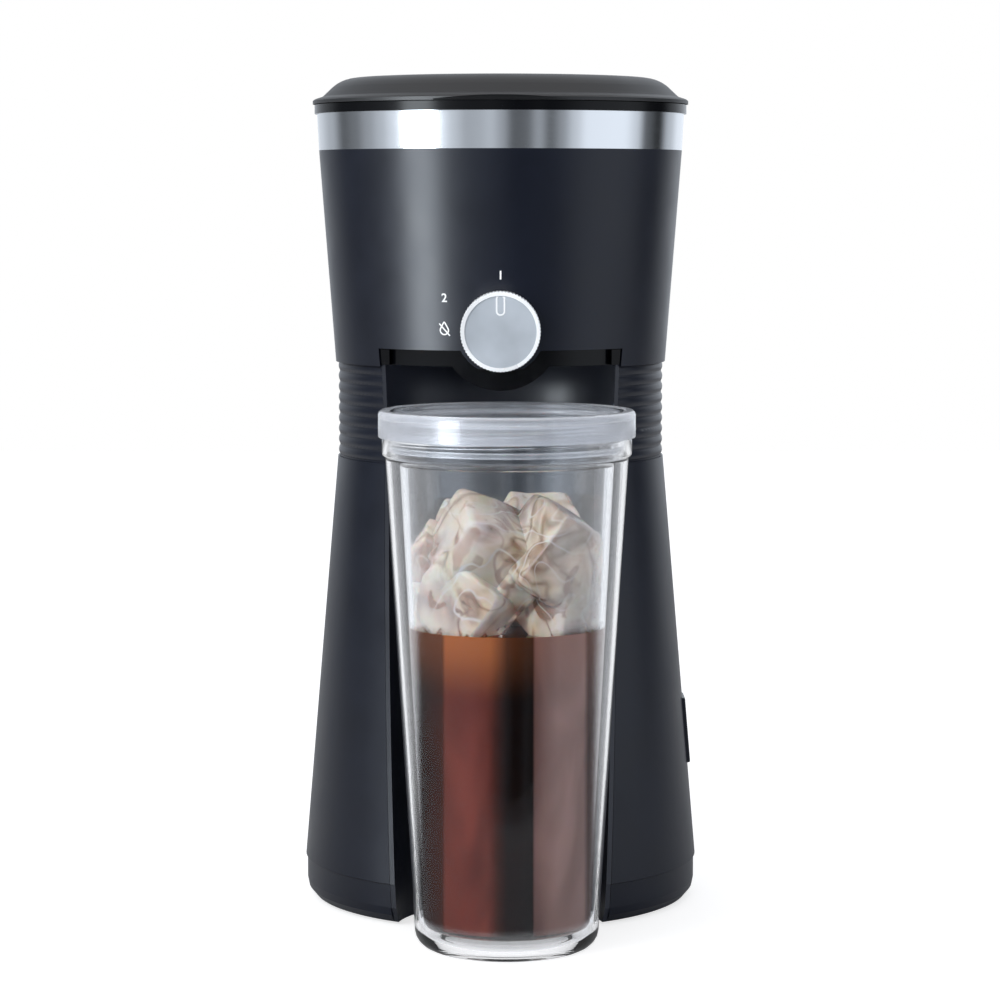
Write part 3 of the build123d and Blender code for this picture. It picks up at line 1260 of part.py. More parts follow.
NODES = {
    "foot_strip": foot_strip,
    "base_pan": base_pan,
    "base_screws": base_screws,
    "lower_shell": lower_shell,
    "recess_liner": recess_liner,
    "rib_band": rib_band,
    "head_shell": head_shell,
    "steel_band": steel_band,
    "rim_collar": rim_collar,
    "hinge_pin": hinge_pin,
    "top_deck": top_deck,
    "water_tank": water_tank,
    "tank_strainer": tank_strainer,
    "check_valve": check_valve,
    "basket_well": basket_well,
    "brew_basket": brew_basket,
    "filter_frame": filter_frame,
    "filter_mesh": filter_mesh,
    "spout_visor": spout_visor,
    "valve_guide": valve_guide,
    "knob_bushing": knob_bushing,
    "shaft_seal": shaft_seal,
    "inlet_hose": inlet_hose,
    "riser_hose": riser_hose,
    "riser_port": riser_port,
    "water_tube": water_tube,
    "heating_element": heating_element,
    "heater_bracket": heater_bracket,
    "heater_strap": heater_strap,
    "heater_screws": heater_screws,
    "thermostat": thermostat,
    "thermal_fuses": thermal_fuses,
    "switch_housing": switch_housing,
    "switch_terminals": switch_terminals,
    "wiring": wiring,
    "cord_gland": cord_gland,
    "knob_body": knob_body,
    "knob_face": knob_face,
    "knob_shaft": knob_shaft,
    "knob_cam": knob_cam,
    "valve_lifter": valve_lifter,
    "valve_stem": valve_stem,
    "stem_clip": stem_clip,
    "valve_seal": valve_seal,
    "valve_spring": valve_spring,
    "switch_rocker": switch_rocker,
    "lid_cover": lid_cover,
    "lid_inner": lid_inner,
    "lid_seal": lid_seal,
    "spray_disc": spray_disc,
    "port_seal": port_seal,
    "lid_screws": lid_screws,
    "tumbler_shell": tumbler_shell,
    "tumbler_cup": tumbler_cup,
}


def solids_of(result):
    """All solids of a node's shape, or of its list of shapes."""
    shapes = result if isinstance(result, list) else [result]
    return [solid for shape in shapes for solid in shape.solids()]


def main():
    os.makedirs("parts", exist_ok=True)
    for name, make in NODES.items():
        solids = solids_of(make())
        export_step(Compound(solids), f"parts/{name}.step")
        print(name, len(solids), "solids", round(sum(solid.volume for solid in solids)))


main()
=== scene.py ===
"""Looks of an iced coffee maker and its double-wall tumbler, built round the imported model.

Everything is in metres in the model's own frame: +Z is up, the front faces -Y and the
origin is on the machine's axis on the counter.
"""

import json
import logging
import math
from dataclasses import dataclass
from typing import Optional, Sequence, Union

import bmesh
import bpy
from mathutils import Matrix, Vector, noise

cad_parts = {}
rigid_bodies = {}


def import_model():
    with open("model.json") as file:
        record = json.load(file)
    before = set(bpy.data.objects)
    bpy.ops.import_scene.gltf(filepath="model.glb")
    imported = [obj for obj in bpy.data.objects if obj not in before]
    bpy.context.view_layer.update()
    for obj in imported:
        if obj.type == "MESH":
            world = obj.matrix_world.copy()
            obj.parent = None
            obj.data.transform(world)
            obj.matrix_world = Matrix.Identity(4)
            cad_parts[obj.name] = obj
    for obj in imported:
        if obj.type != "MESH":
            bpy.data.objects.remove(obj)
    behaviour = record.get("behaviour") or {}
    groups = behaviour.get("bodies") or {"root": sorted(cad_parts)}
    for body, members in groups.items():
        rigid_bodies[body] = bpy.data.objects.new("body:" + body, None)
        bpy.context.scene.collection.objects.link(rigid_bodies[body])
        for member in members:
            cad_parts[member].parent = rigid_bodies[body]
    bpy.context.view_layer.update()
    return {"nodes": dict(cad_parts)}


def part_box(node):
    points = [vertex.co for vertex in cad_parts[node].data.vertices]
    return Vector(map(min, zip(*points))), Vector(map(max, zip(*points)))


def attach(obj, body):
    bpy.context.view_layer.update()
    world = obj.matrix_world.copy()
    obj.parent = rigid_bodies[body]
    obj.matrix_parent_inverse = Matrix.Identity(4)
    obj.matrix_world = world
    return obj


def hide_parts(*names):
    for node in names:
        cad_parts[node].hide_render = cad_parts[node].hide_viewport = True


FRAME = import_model()

logging.basicConfig(level=logging.INFO, format="%(message)s")
LOG = logging.getLogger("iced_coffee_maker")

MM = 0.001
WELD = 1e-6
Pair = tuple[float, float]
Point = tuple[float, float, float]
Colour = tuple[float, float, float, float]
Pairs = tuple[Pair, ...]
Shades = tuple[tuple[float, str], ...]
Tree = bpy.types.NodeTree
Socket = bpy.types.NodeSocket
Setting = Union[float, Sequence[float], Socket]
Piece = bpy.types.Object
Shape = bmesh.types.BMesh


# Small tools for materials

def linear(colour: str) -> Colour:
    """Turns an sRGB hex colour into the linear values that a shader takes.

    Args:
        colour: Six hex digits after a hash.

    Returns:
        Red, green, blue and an alpha of 1.
    """
    shares = [int(colour[i : i + 2], 16) / 255 for i in (1, 3, 5)]
    light = [c / 12.92 if c <= 0.04045 else ((c + 0.055) / 1.055) ** 2.4 for c in shares]
    return (light[0], light[1], light[2], 1.0)


def grey(level: float) -> Colour:
    """A linear grey of this level."""
    return (level, level, level, 1.0)


def add_node(
    tree: Tree, kind: str, inputs: Optional[dict[Union[int, str], Setting]] = None, **settings: object
) -> bpy.types.Node:
    """Adds a node with its settings and links.

    Args:
        tree: The node tree.
        kind: The node's type name.
        inputs: Value or source socket of each input, by its name or number.
        settings: Properties of the node.

    Returns:
        The new node.
    """
    node = tree.nodes.new(kind)
    for name, value in settings.items():
        setattr(node, name, value)
    for key, value in (inputs or {}).items():
        if isinstance(value, Socket):
            tree.links.new(value, node.inputs[key])
        else:
            node.inputs[key].default_value = value
    return node


def maths(tree: Tree, operation: str, *values: Setting) -> Socket:
    """Result of a sum on these values."""
    return add_node(tree, "ShaderNodeMath", dict(enumerate(values)), operation=operation).outputs[0]


def remapped(tree: Tree, value: Socket, span: Pair, to: Pair = (0.0, 1.0), smooth: bool = False) -> Socket:
    """Maps a value from one span to another, held at the ends.

    Args:
        tree: The node tree.
        value: The value.
        span: The two values that it is mapped from.
        to: What these two become.
        smooth: Whether it eases in and out.

    Returns:
        The mapped value.
    """
    inputs = {"Value": value, "From Min": span[0], "From Max": span[1], "To Min": to[0], "To Max": to[1]}
    way = "SMOOTHSTEP" if smooth else "LINEAR"
    return add_node(tree, "ShaderNodeMapRange", inputs, interpolation_type=way).outputs["Result"]


def graded(tree: Tree, value: Socket, stops: Sequence[tuple[float, Colour]], eased: bool = False) -> Socket:
    """Turns a value into a colour.

    Args:
        tree: The node tree.
        value: The value, 0 to 1.
        stops: Places from 0 to 1 with their linear colours.
        eased: Whether the colours ease into each other.

    Returns:
        The colour.
    """
    node = add_node(tree, "ShaderNodeValToRGB", {"Fac": value})
    table = node.color_ramp
    table.interpolation = "EASE" if eased else "LINEAR"
    while len(table.elements) > 1:
        table.elements.remove(table.elements[0])
    table.elements[0].position, table.elements[0].color = stops[0]
    for place, colour in stops[1:]:
        table.elements.new(place).color = colour
    return node.outputs["Color"]


def mottled(
    tree: Tree,
    place: Socket,
    size_mm: float,
    detail: float,
    distortion: float = 0.0,
    seed: Optional[float] = None,
) -> Socket:
    """Irregular pattern about 0.5.

    Args:
        tree: The node tree.
        place: The coordinates, in metres.
        size_mm: Size of its features.
        detail: How much finer pattern it holds.
        distortion: How far it is stirred.
        seed: Which pattern of its kind, if not the plain one.

    Returns:
        The pattern's value.
    """
    inputs = {"Vector": place, "Scale": 1 / (size_mm * MM), "Detail": detail, "Distortion": distortion}
    if seed is None:
        return add_node(tree, "ShaderNodeTexNoise", inputs).outputs["Fac"]
    return add_node(tree, "ShaderNodeTexNoise", {**inputs, "W": seed}, noise_dimensions="4D").outputs["Fac"]


def relief(tree: Tree, height: Socket, depth_mm: float) -> Socket:
    """Normal of a surface whose pattern is this deep."""
    return add_node(tree, "ShaderNodeBump", {"Height": height, "Distance": depth_mm * MM}).outputs["Normal"]


def blended(tree: Tree, share: Socket, first: Setting, second: Setting, multiplied: bool = False) -> Socket:
    """Blends or multiplies two colours.

    Args:
        tree: The node tree.
        share: How much the second one counts.
        first: The first colour.
        second: The second colour.
        multiplied: Whether the second one darkens the first, where it doesn't stand in for it.

    Returns:
        The colour.
    """
    inputs = {"Factor": share, "A": first, "B": second}
    way = "MULTIPLY" if multiplied else "MIX"
    return add_node(tree, "ShaderNodeMix", inputs, data_type="RGBA", blend_type=way).outputs[2]


def mixed(tree: Tree, share: Socket, first: Socket, second: Socket) -> Socket:
    """Mix of two shaders, with this share of the second."""
    return add_node(tree, "ShaderNodeMixShader", {0: share, 1: first, 2: second}).outputs[0]


def principled(tree: Tree, inputs: dict[str, Setting]) -> Socket:
    """Principled shader with these inputs."""
    return add_node(tree, "ShaderNodeBsdfPrincipled", inputs).outputs["BSDF"]


def axes_of(tree: Tree, place: Socket) -> bpy.types.bpy_prop_collection:
    """X, Y and Z of a place, by name."""
    return add_node(tree, "ShaderNodeSeparateXYZ", {"Vector": place}).outputs


def object_coordinates(tree: Tree, scale: Point = (1, 1, 1)) -> Socket:
    """Object coordinates through a Mapping node with this scale."""
    place = add_node(tree, "ShaderNodeTexCoord").outputs["Object"]
    return add_node(tree, "ShaderNodeMapping", {"Vector": place, "Scale": scale}).outputs["Vector"]


# Finishes

@dataclass(frozen=True)
class Finish:
    """A finish whose material is made once and shared by its pieces."""

    name: str

    def surface(self, tree: Tree) -> Socket:
        """Adds the finish's nodes to a material.

        Args:
            tree: The material's node tree.

        Returns:
            The finished surface.
        """
        raise NotImplementedError

    def material(self) -> bpy.types.Material:
        """Makes the finish's material on first use.

        Returns:
            The material.
        """
        material = bpy.data.materials.get(self.name)
        if material is None:
            material = bpy.data.materials.new(self.name)
            material.use_nodes = True
            tree = material.node_tree
            tree.nodes.clear()
            add_node(tree, "ShaderNodeOutputMaterial", {"Surface": self.surface(tree)})
        return material


@dataclass(frozen=True)
class MouldedPlastic(Finish):
    """Injection-moulded plastic with the fine spark-eroded grain of its mould."""

    colour: str
    roughness: float
    ior: float = 1.54
    grain_mm: float = 0.5
    grain_depth_mm: float = 0.01
    patch_mm: float = 18.0
    patch_span: Pair = (0.3, 0.7)
    drift: float = 0.12
    gloss_drift: float = 0.025
    soft: float = 0.0
    soft_depth: float = 0.002
    metallic: float = 0.0

    def surface(self, tree: Tree) -> Socket:
        """Adds the plastic: colour that drifts a little, grain as bump, and uneven gloss.

        Args:
            tree: The material's node tree.

        Returns:
            The finished surface.
        """
        place = object_coordinates(tree)
        patch = mottled(tree, place, self.patch_mm, 3.0)
        grain = mottled(tree, place, self.grain_mm, 2.0)
        base = linear(self.colour)[:3]
        stops = [
            (at, tuple(share * level for share in base) + (1.0,))
            for at, level in zip(self.patch_span, (1 - self.drift, 1 + self.drift))
        ]
        gloss = (self.roughness - self.gloss_drift, self.roughness + self.gloss_drift)
        return principled(
            tree,
            {
                "Base Color": graded(tree, patch, stops),
                "Roughness": remapped(tree, patch, self.patch_span, gloss),
                "IOR": self.ior,
                "Normal": relief(tree, grain, self.grain_depth_mm),
                "Subsurface Weight": self.soft,
                "Subsurface Scale": self.soft_depth,
                "Metallic": self.metallic,
            },
        )


@dataclass(frozen=True)
class WorkedMetal(Finish):
    """Metal with the fine lines that rolling, turning or brushing leaves."""

    colour: str
    roughness: float
    line_mm: float = 0.12
    line_scale: Point = (1.0, 1.0, 1.0)
    line_depth_mm: float = 0.002
    line_gloss: float = 0.06
    anisotropy: float = 0.0
    stain: str = "#000000"
    stain_mm: float = 9.0
    stain_span: Pair = (0.45, 0.75)
    stain_share: float = 0.0

    def surface(self, tree: Tree) -> Socket:
        """Adds the metal: long fine lines in its bump and gloss, and heat or handling marks.

        Args:
            tree: The material's node tree.

        Returns:
            The finished surface.
        """
        lines = mottled(tree, object_coordinates(tree, self.line_scale), self.line_mm, 2.0)
        marks = mottled(tree, object_coordinates(tree), self.stain_mm, 4.0)
        stained = remapped(tree, marks, self.stain_span, (0.0, self.stain_share))
        gloss = (self.roughness - self.line_gloss, self.roughness + self.line_gloss)
        inputs = {
            "Base Color": blended(tree, stained, linear(self.colour), linear(self.stain)),
            "Metallic": 1.0,
            "Roughness": remapped(tree, lines, (0.0, 1.0), gloss),
            "Anisotropic": self.anisotropy,
            "Anisotropic Rotation": 0.25,
            "Normal": relief(tree, lines, self.line_depth_mm),
        }
        if self.anisotropy:
            ring = add_node(tree, "ShaderNodeTangent", direction_type="RADIAL", axis="Z")
            inputs["Tangent"] = ring.outputs["Tangent"]
        return principled(tree, inputs)


@dataclass(frozen=True)
class WovenCloth(Finish):
    """Fine square weave of thread, as in a filter's mesh or a sleeve."""

    colour: str
    gap_colour: str
    thread_mm: float
    roughness: float = 0.6
    stir: float = 0.4
    waves_per_band: float = 10.0
    thread_span: Pair = (0.15, 0.5)

    def surface(self, tree: Tree) -> Socket:
        """Adds the weave: crossed threads in colour and bump.

        Args:
            tree: The material's node tree.

        Returns:
            The finished surface.
        """
        place = object_coordinates(tree)
        scale = 1 / (self.thread_mm * MM) / self.waves_per_band
        waves = [
            add_node(
                tree,
                "ShaderNodeTexWave",
                {"Vector": place, "Scale": scale, "Distortion": self.stir},
                bands_direction=direction,
            ).outputs["Fac"]
            for direction in "XYZ"
        ]
        threads = maths(tree, "MULTIPLY", maths(tree, "MAXIMUM", *waves[:2]), waves[2])
        shades = (linear(self.gap_colour), linear(self.colour))
        return principled(
            tree,
            {
                "Base Color": graded(tree, threads, list(zip(self.thread_span, shades))),
                "Roughness": self.roughness,
                "Normal": relief(tree, threads, self.thread_mm / 3),
            },
        )


# Studio

@dataclass(frozen=True)
class StudioFloor(Finish):
    """White floor that keeps the object's shadow, and looks white through the clear plastic too."""

    shade: float = 0.58
    lift: float = 0.7
    inside_depth: float = 1.5

    def surface(self, tree: Tree) -> Socket:
        """Adds the floor: matt, and lit up for the camera and for rays inside the tumbler.

        Args:
            tree: The material's node tree.

        Returns:
            The finished surface.
        """
        path = add_node(tree, "ShaderNodeLightPath").outputs
        inside = maths(tree, "GREATER_THAN", path["Ray Depth"], self.inside_depth)
        turned_back = maths(tree, "MULTIPLY", path["Is Glossy Ray"], inside)
        through = maths(tree, "MAXIMUM", path["Is Transmission Ray"], turned_back)
        seen = maths(tree, "MAXIMUM", path["Is Camera Ray"], through)
        glow = add_node(
            tree,
            "ShaderNodeEmission",
            {"Color": grey(1.0), "Strength": maths(tree, "MULTIPLY", seen, self.lift)},
        )
        matt = add_node(tree, "ShaderNodeBsdfDiffuse", {"Color": grey(self.shade)})
        return add_node(tree, "ShaderNodeAddShader", {0: matt.outputs[0], 1: glow.outputs[0]}).outputs[0]


@dataclass
class Studio:
    """Camera, soft surroundings, floor and lamps; angles are in degrees from the front to the right."""

    focal_mm: float = 115.72
    sensor_mm: float = 36.0
    clip: Pair = (0.05, 50.0)
    eye: Point = (-0.0002, -1.278, 0.2801)
    pitch: float = 5.46
    floor_half: Point = (1.5, 0.26, 2.2)
    strength: float = 1.2
    cool: Point = (0.93, 0.99, 1.07)
    overhead: Colour = (0.75, 0.75, 0.76, 1.0)
    overhead_rise: Pair = (0.55, 0.92)
    white_behind: Pair = (-0.3, 0.15)
    map_size: int = 1024
    aim_height: float = 0.12
    key_place: Point = (-0.75, -0.62, 0.95)
    key_size: float = 0.55
    key_power: float = 5.0
    strip_azimuth: float = -51.0
    strip_distance: float = 2.1
    strip_height: float = 0.3
    strip_size: Pair = (0.74, 3.0)
    strip_power: float = 84.0
    strip_colour: Point = (0.88, 0.95, 1.0)
    bands: Pairs = (
        (-180, 1.0), (-156, 0.75), (-132, 0.5), (-116, 0.13), (-103, 0.20), (-91, 0.38), (-80, 0.58),
        (-71, 0.82), (-60, 1.0), (-46, 1.0), (-37, 0.85), (-29, 0.65), (-21, 0.46), (-14, 0.50), (-6, 0.62),
        (1, 0.42), (8, 0.12), (16, 0.15), (24, 0.42), (31, 0.14), (39, 0.35), (47, 0.7), (56, 1.05),
        (84, 1.1), (94, 0.8), (104, 0.12), (118, 0.02), (132, 0.6), (150, 1.0), (180, 1.0),
    )

    def build(self) -> None:
        """Makes the camera, the surroundings, the floor and the key lamp."""
        self.camera()
        self.world()
        self.floor()
        self.lamp("key_lamp", self.key_place, (self.key_size, self.key_size), self.key_power)
        bpy.context.scene.view_settings.view_transform = "Standard"

    def camera(self) -> None:
        """Makes the camera at the photograph's viewing angle."""
        data = bpy.data.cameras.new("camera")
        data.lens = self.focal_mm
        data.sensor_width = self.sensor_mm
        data.clip_start, data.clip_end = self.clip
        camera = bpy.data.objects.new("camera", data)
        camera.location = self.eye
        camera.rotation_euler = (math.radians(90 - self.pitch), 0, 0)
        bpy.context.scene.collection.objects.link(camera)
        bpy.context.scene.camera = camera

    def world(self) -> None:
        """Makes soft surroundings: bands of light round the object, and plain white for the camera."""
        world = bpy.data.worlds.new("surroundings")
        world.use_nodes = True
        bpy.context.scene.world = world
        tree = world.node_tree
        tree.nodes.clear()
        axes = axes_of(tree, add_node(tree, "ShaderNodeTexCoord").outputs["Generated"])
        turn = maths(tree, "ARCTAN2", axes["X"], maths(tree, "MULTIPLY", axes["Y"], -1.0))
        stops = []
        for angle, level in self.bands:
            shade = tuple(level / self.strength * share for share in self.cool)
            stops.append(((angle + 180) / 360, shade + (1.0,)))
        ring = graded(tree, remapped(tree, turn, (-math.pi, math.pi)), stops, eased=True)
        rise = remapped(tree, axes["Z"], self.overhead_rise, smooth=True)
        glow = add_node(
            tree,
            "ShaderNodeBackground",
            {"Color": blended(tree, rise, ring, self.overhead), "Strength": self.strength},
        )
        white = add_node(tree, "ShaderNodeBackground", {"Color": grey(1.0), "Strength": 1.0})
        path = add_node(tree, "ShaderNodeLightPath").outputs
        behind = remapped(tree, axes["Y"], self.white_behind, smooth=True)
        through = maths(tree, "MULTIPLY", path["Is Transmission Ray"], behind)
        seen = maths(tree, "MAXIMUM", path["Is Camera Ray"], through)
        surroundings = mixed(tree, seen, glow.outputs[0], white.outputs[0])
        add_node(tree, "ShaderNodeOutputWorld", {"Surface": surroundings})
        world.cycles.sampling_method = "MANUAL"
        world.cycles.sample_map_resolution = self.map_size

    def floor(self) -> None:
        """Makes the pale floor."""
        side, front, back = self.floor_half
        shape = bmesh.new()
        bmesh.ops.create_grid(shape, x_segments=1, y_segments=1, size=1.0)
        bmesh.ops.scale(shape, vec=(side, (front + back) / 2, 1), verts=shape.verts)
        bmesh.ops.translate(shape, vec=(0, (back - front) / 2, 0), verts=shape.verts)
        mesh = bpy.data.meshes.new("floor")
        shape.to_mesh(mesh)
        shape.free()
        mesh.materials.append(StudioFloor("floor_white").material())
        floor = bpy.data.objects.new("floor", mesh)
        bpy.context.scene.collection.objects.link(floor)

    def lamp(self, name: str, place: Point, size: Pair, power: float, on: Sequence[Piece] = ()) -> Piece:
        """Makes a soft lamp aimed at the object, which shows in no mirror.

        Args:
            name: Name of the lamp.
            place: Where it hangs.
            size: Its width and height.
            power: Its power in watts.
            on: The pieces that it lights, where it doesn't light all.

        Returns:
            The lamp.
        """
        data = bpy.data.lights.new(name, "AREA")
        data.shape = "RECTANGLE"
        data.size, data.size_y = size
        data.energy = power
        lamp = bpy.data.objects.new(name, data)
        lamp.location = place
        aim = Vector((0, 0, min(place[2], self.aim_height))) - Vector(place)
        lamp.rotation_euler = aim.to_track_quat("-Z", "Y").to_euler()
        lamp.visible_glossy = False
        bpy.context.scene.collection.objects.link(lamp)
        if on:
            lit = bpy.data.collections.new(name + "_lights")
            for piece in on:
                lit.objects.link(piece)
            lamp.light_linking.receiver_collection = lit
        return lamp

    def strip_box(self, on: Sequence[Piece]) -> None:
        """Makes the tall soft box at the left, whose sheen lies on the opaque pieces only.

        Args:
            on: The pieces that it lights.
        """
        turn = math.radians(self.strip_azimuth)
        away = self.strip_distance
        place = (away * math.sin(turn), -away * math.cos(turn), self.strip_height)
        lamp = self.lamp("strip_box", place, self.strip_size, self.strip_power, on)
        lamp.rotation_euler = (math.pi / 2, 0, turn)
        lamp.data.color = self.strip_colour
        lamp.visible_glossy = True
        lamp.visible_diffuse = lamp.visible_transmission = lamp.visible_camera = False

    def accent(
        self, name: str, place: Point, size: float, power: float, on: Sequence[Piece], mirrored: bool = True
    ) -> None:
        """Makes a small lamp that lights a few pieces only.

        Args:
            name: Name of the lamp.
            place: Where it hangs.
            size: Its width and height.
            power: Its power in watts.
            on: The pieces that it lights.
            mirrored: Whether it shows as a highlight.
        """
        lamp = self.lamp(name, place, (size, size), power, on)
        lamp.visible_glossy = mirrored
        lamp.visible_camera = False


# Finishes of the real object's materials

# Satin ABS: deep blue-black that rolls into broad soft highlights over a fine mould grain
BODY_BLACK = MouldedPlastic(
    "satin_abs_black", "#0a1122", 0.33, ior=1.43, grain_mm=0.35, grain_depth_mm=0.004
)
# Polished ABS: near black, with small crisp lights and nothing between them
CHIN_BLACK = MouldedPlastic(
    "glossy_abs_black", "#07080c", 0.2, ior=1.28, grain_mm=6.0, grain_depth_mm=0.006
)
# Half-gloss black ABS of the scallop, painted lighter as dark slate to stand in for light the recess doesn't
# get; it carries wide blurred lights
LINER_BLACK_PAINTED_LIGHT = MouldedPlastic(
    "liner_abs_black_painted_light", "#22252e", 0.3, ior=1.43, grain_mm=6.0, grain_depth_mm=0.006
)
# Matt polypropylene: charcoal, a little lighter where it faces the sky, with a leathery grain
LID_BLACK = MouldedPlastic("matt_pp_black", "#212123", 0.44, ior=1.5, grain_mm=0.6, grain_depth_mm=0.02)
# Satin nylon: neutral black with a tight sheen, worn smooth by fingers
ROCKER_BLACK = MouldedPlastic("satin_nylon_black", "#0b0b0c", 0.35, grain_mm=0.4)
# Satin polypropylene: soft black of a part that is washed often
BASKET_BLACK = MouldedPlastic("satin_pp_black", "#121213", 0.42, grain_mm=0.4)
# Grey polypropylene: plain mid-dark grey inside the lid and the tank
INNER_GREY = MouldedPlastic("satin_pp_grey", "#3a3b3d", 0.45, grain_mm=0.4)
# Uncoloured acetal: milky off-white that lets a little light in at its edges
NATURAL_PLASTIC = MouldedPlastic("natural_acetal", "#e4e3dc", 0.38, grain_mm=0.4, soft=0.15)
# Silicone rubber: cloudy white, soft shaded, with no sharp lights
SILICONE = MouldedPlastic("clear_silicone_rubber", "#dcdad4", 0.4, ior=1.43, grain_mm=0.8, soft=0.4)
# Plasticised PVC: black with a dull, slightly greasy sheen
GLAND_RUBBER = MouldedPlastic("black_pvc", "#101011", 0.45, grain_mm=0.4)
# Foot rubber: flat black that swallows light
FOOT_RUBBER = MouldedPlastic("black_foot_rubber", "#0d0d0d", 0.7, grain_mm=0.7, grain_depth_mm=0.03)
# Silicone wire cover: dark grey-black, smooth and a bit shiny
WIRE_COVER = MouldedPlastic("wire_silicone_black", "#1a1a1a", 0.4, grain_mm=0.4)
# Brushed stainless steel: upright bands of light that its fine level lines draw out
BAND_STEEL = WorkedMetal(
    "brushed_stainless", "#dfe2e6", 0.16, line_mm=0.16, line_scale=(0.015, 0.015, 1.0), anisotropy=0.6
)
# Zinc-plated steel: cool grey, cloudy with a faint yellow passivation
ZINC_STEEL = WorkedMetal("zinc_plated_steel", "#c4c4c2", 0.3, stain="#8f8a78", stain_share=0.5)
# Heated steel sheath: warm grey with straw and brown tempering colours
ELEMENT_STEEL = WorkedMetal("heated_steel", "#a39a8e", 0.38, stain="#5a4a3c", stain_share=0.8)
# Pressed aluminium cap: pale, evenly dull
CAP_ALUMINIUM = WorkedMetal("pressed_aluminium", "#cfcfcc", 0.36)
# Drawn aluminium tube: bright, with faint lines along the draw
TUBE_ALUMINIUM = WorkedMetal("drawn_aluminium", "#d8d9da", 0.3, line_scale=(0.3, 0.3, 1))
# Stamped brass: warm yellow with a browner film in places
BRASS = WorkedMetal("bright_brass", "#d8b25c", 0.28, stain="#8a6a30", stain_share=0.3)
# Bright silver lacquer: nearly white ring that still shades like metal round its edge
KNOB_SILVER = MouldedPlastic(
    "bright_silver_lacquer", "#f6f8fa", 0.28, grain_mm=0.3, grain_depth_mm=0.002, metallic=0.25
)
# Satin silver lacquer: even cool grey with a faint sparkle
KNOB_GREY = MouldedPlastic(
    "satin_silver_lacquer", "#a9b0b8", 0.42, grain_mm=0.2, grain_depth_mm=0.002, metallic=0.3
)
# White pad print: flat opaque white ink
WHITE_PRINT = MouldedPlastic("white_pad_print", "#f2f3f4", 0.5, grain_mm=0.3, grain_depth_mm=0.002)
# Woven nylon filter: open tan weave, darker in its holes
NYLON_MESH = WovenCloth("nylon_filter_weave", "#cdbf9f", "#6d6350", 0.35)
# Glass-fibre sleeve: off-white plaited threads
FUSE_SLEEVE = WovenCloth("glass_fibre_sleeve", "#e6e3da", "#a9a598", 0.5)


# Small tools for shapes

@dataclass(frozen=True)
class Corner:
    """A point of a turned outline in millimetres, and how far its rounding reaches along both edges."""

    radius: float
    height: float
    rounding: float = 0.0


def turned(
    outline: Sequence[Corner], axis: Point, steps: int = 160, segments: int = 5, closed: bool = False
) -> Shape:
    """Turns an outline about an upright axis after rounding its corners.

    Args:
        outline: Corners from one end on the axis to the other, or round a ring's section.
        axis: A point on the axis, in metres.
        steps: Number of facets round the axis.
        segments: Number of runs in a rounded corner.
        closed: Whether the last corner joins the first.

    Returns:
        The closed shape.
    """
    shape = bmesh.new()
    points = [shape.verts.new((corner.radius * MM, 0, corner.height * MM)) for corner in outline]
    for first, second in zip(points, points[1:] + points[:1] * closed):
        shape.edges.new((first, second))
    for point, corner in zip(points, outline):
        if corner.rounding:
            rounded(shape, [point], corner.rounding * MM, segments)
    bmesh.ops.spin(
        shape,
        geom=shape.verts[:] + shape.edges[:],
        cent=(0, 0, 0),
        axis=(0, 0, 1),
        angle=2 * math.pi,
        steps=steps,
        use_merge=True,
    )
    bmesh.ops.remove_doubles(shape, verts=shape.verts, dist=WELD)
    bmesh.ops.recalc_face_normals(shape, faces=shape.faces)
    shift_shape(shape, axis)
    return shape


def rounded(
    shape: Shape, parts: Sequence[Union[bmesh.types.BMVert, bmesh.types.BMEdge]], reach: float, segments: int
) -> None:
    """Rounds corners or edges.

    Args:
        shape: The shape.
        parts: Its corners or its edges to round.
        reach: How far the rounding reaches, in metres.
        segments: Number of runs in a rounding.
    """
    bmesh.ops.bevel(
        shape,
        geom=parts,
        offset=reach,
        offset_type="OFFSET",
        segments=segments,
        profile=0.5,
        affect="VERTICES" if isinstance(parts[0], bmesh.types.BMVert) else "EDGES",
        material=-1,
    )


def turn_shape(shape: Shape, degrees: float, axis: str) -> None:
    """Turns a shape about an axis through the origin."""
    matrix = Matrix.Rotation(math.radians(degrees), 3, axis)
    bmesh.ops.rotate(shape, cent=(0, 0, 0), matrix=matrix, verts=shape.verts)


def shift_shape(shape: Shape, step: Point) -> None:
    """Moves a shape."""
    bmesh.ops.translate(shape, vec=step, verts=shape.verts)


def hollow_out(shape: Shape, width: float) -> None:
    """Leaves only the border of a flat face.

    Args:
        shape: The face.
        width: The border's width, in metres.
    """
    bmesh.ops.inset_individual(shape, faces=shape.faces[:], thickness=width, depth=0, use_even_offset=True)
    inside = max(shape.faces, key=lambda face: len(face.verts))
    bmesh.ops.delete(shape, geom=[inside], context="FACES")


def absorb(shape: Shape, other: Shape) -> None:
    """Moves one shape into another.

    Args:
        shape: The shape that grows.
        other: The shape that is taken in and freed.
    """
    mesh = bpy.data.meshes.new("absorbed")
    other.to_mesh(mesh)
    other.free()
    shape.from_mesh(mesh)
    bpy.data.meshes.remove(mesh)


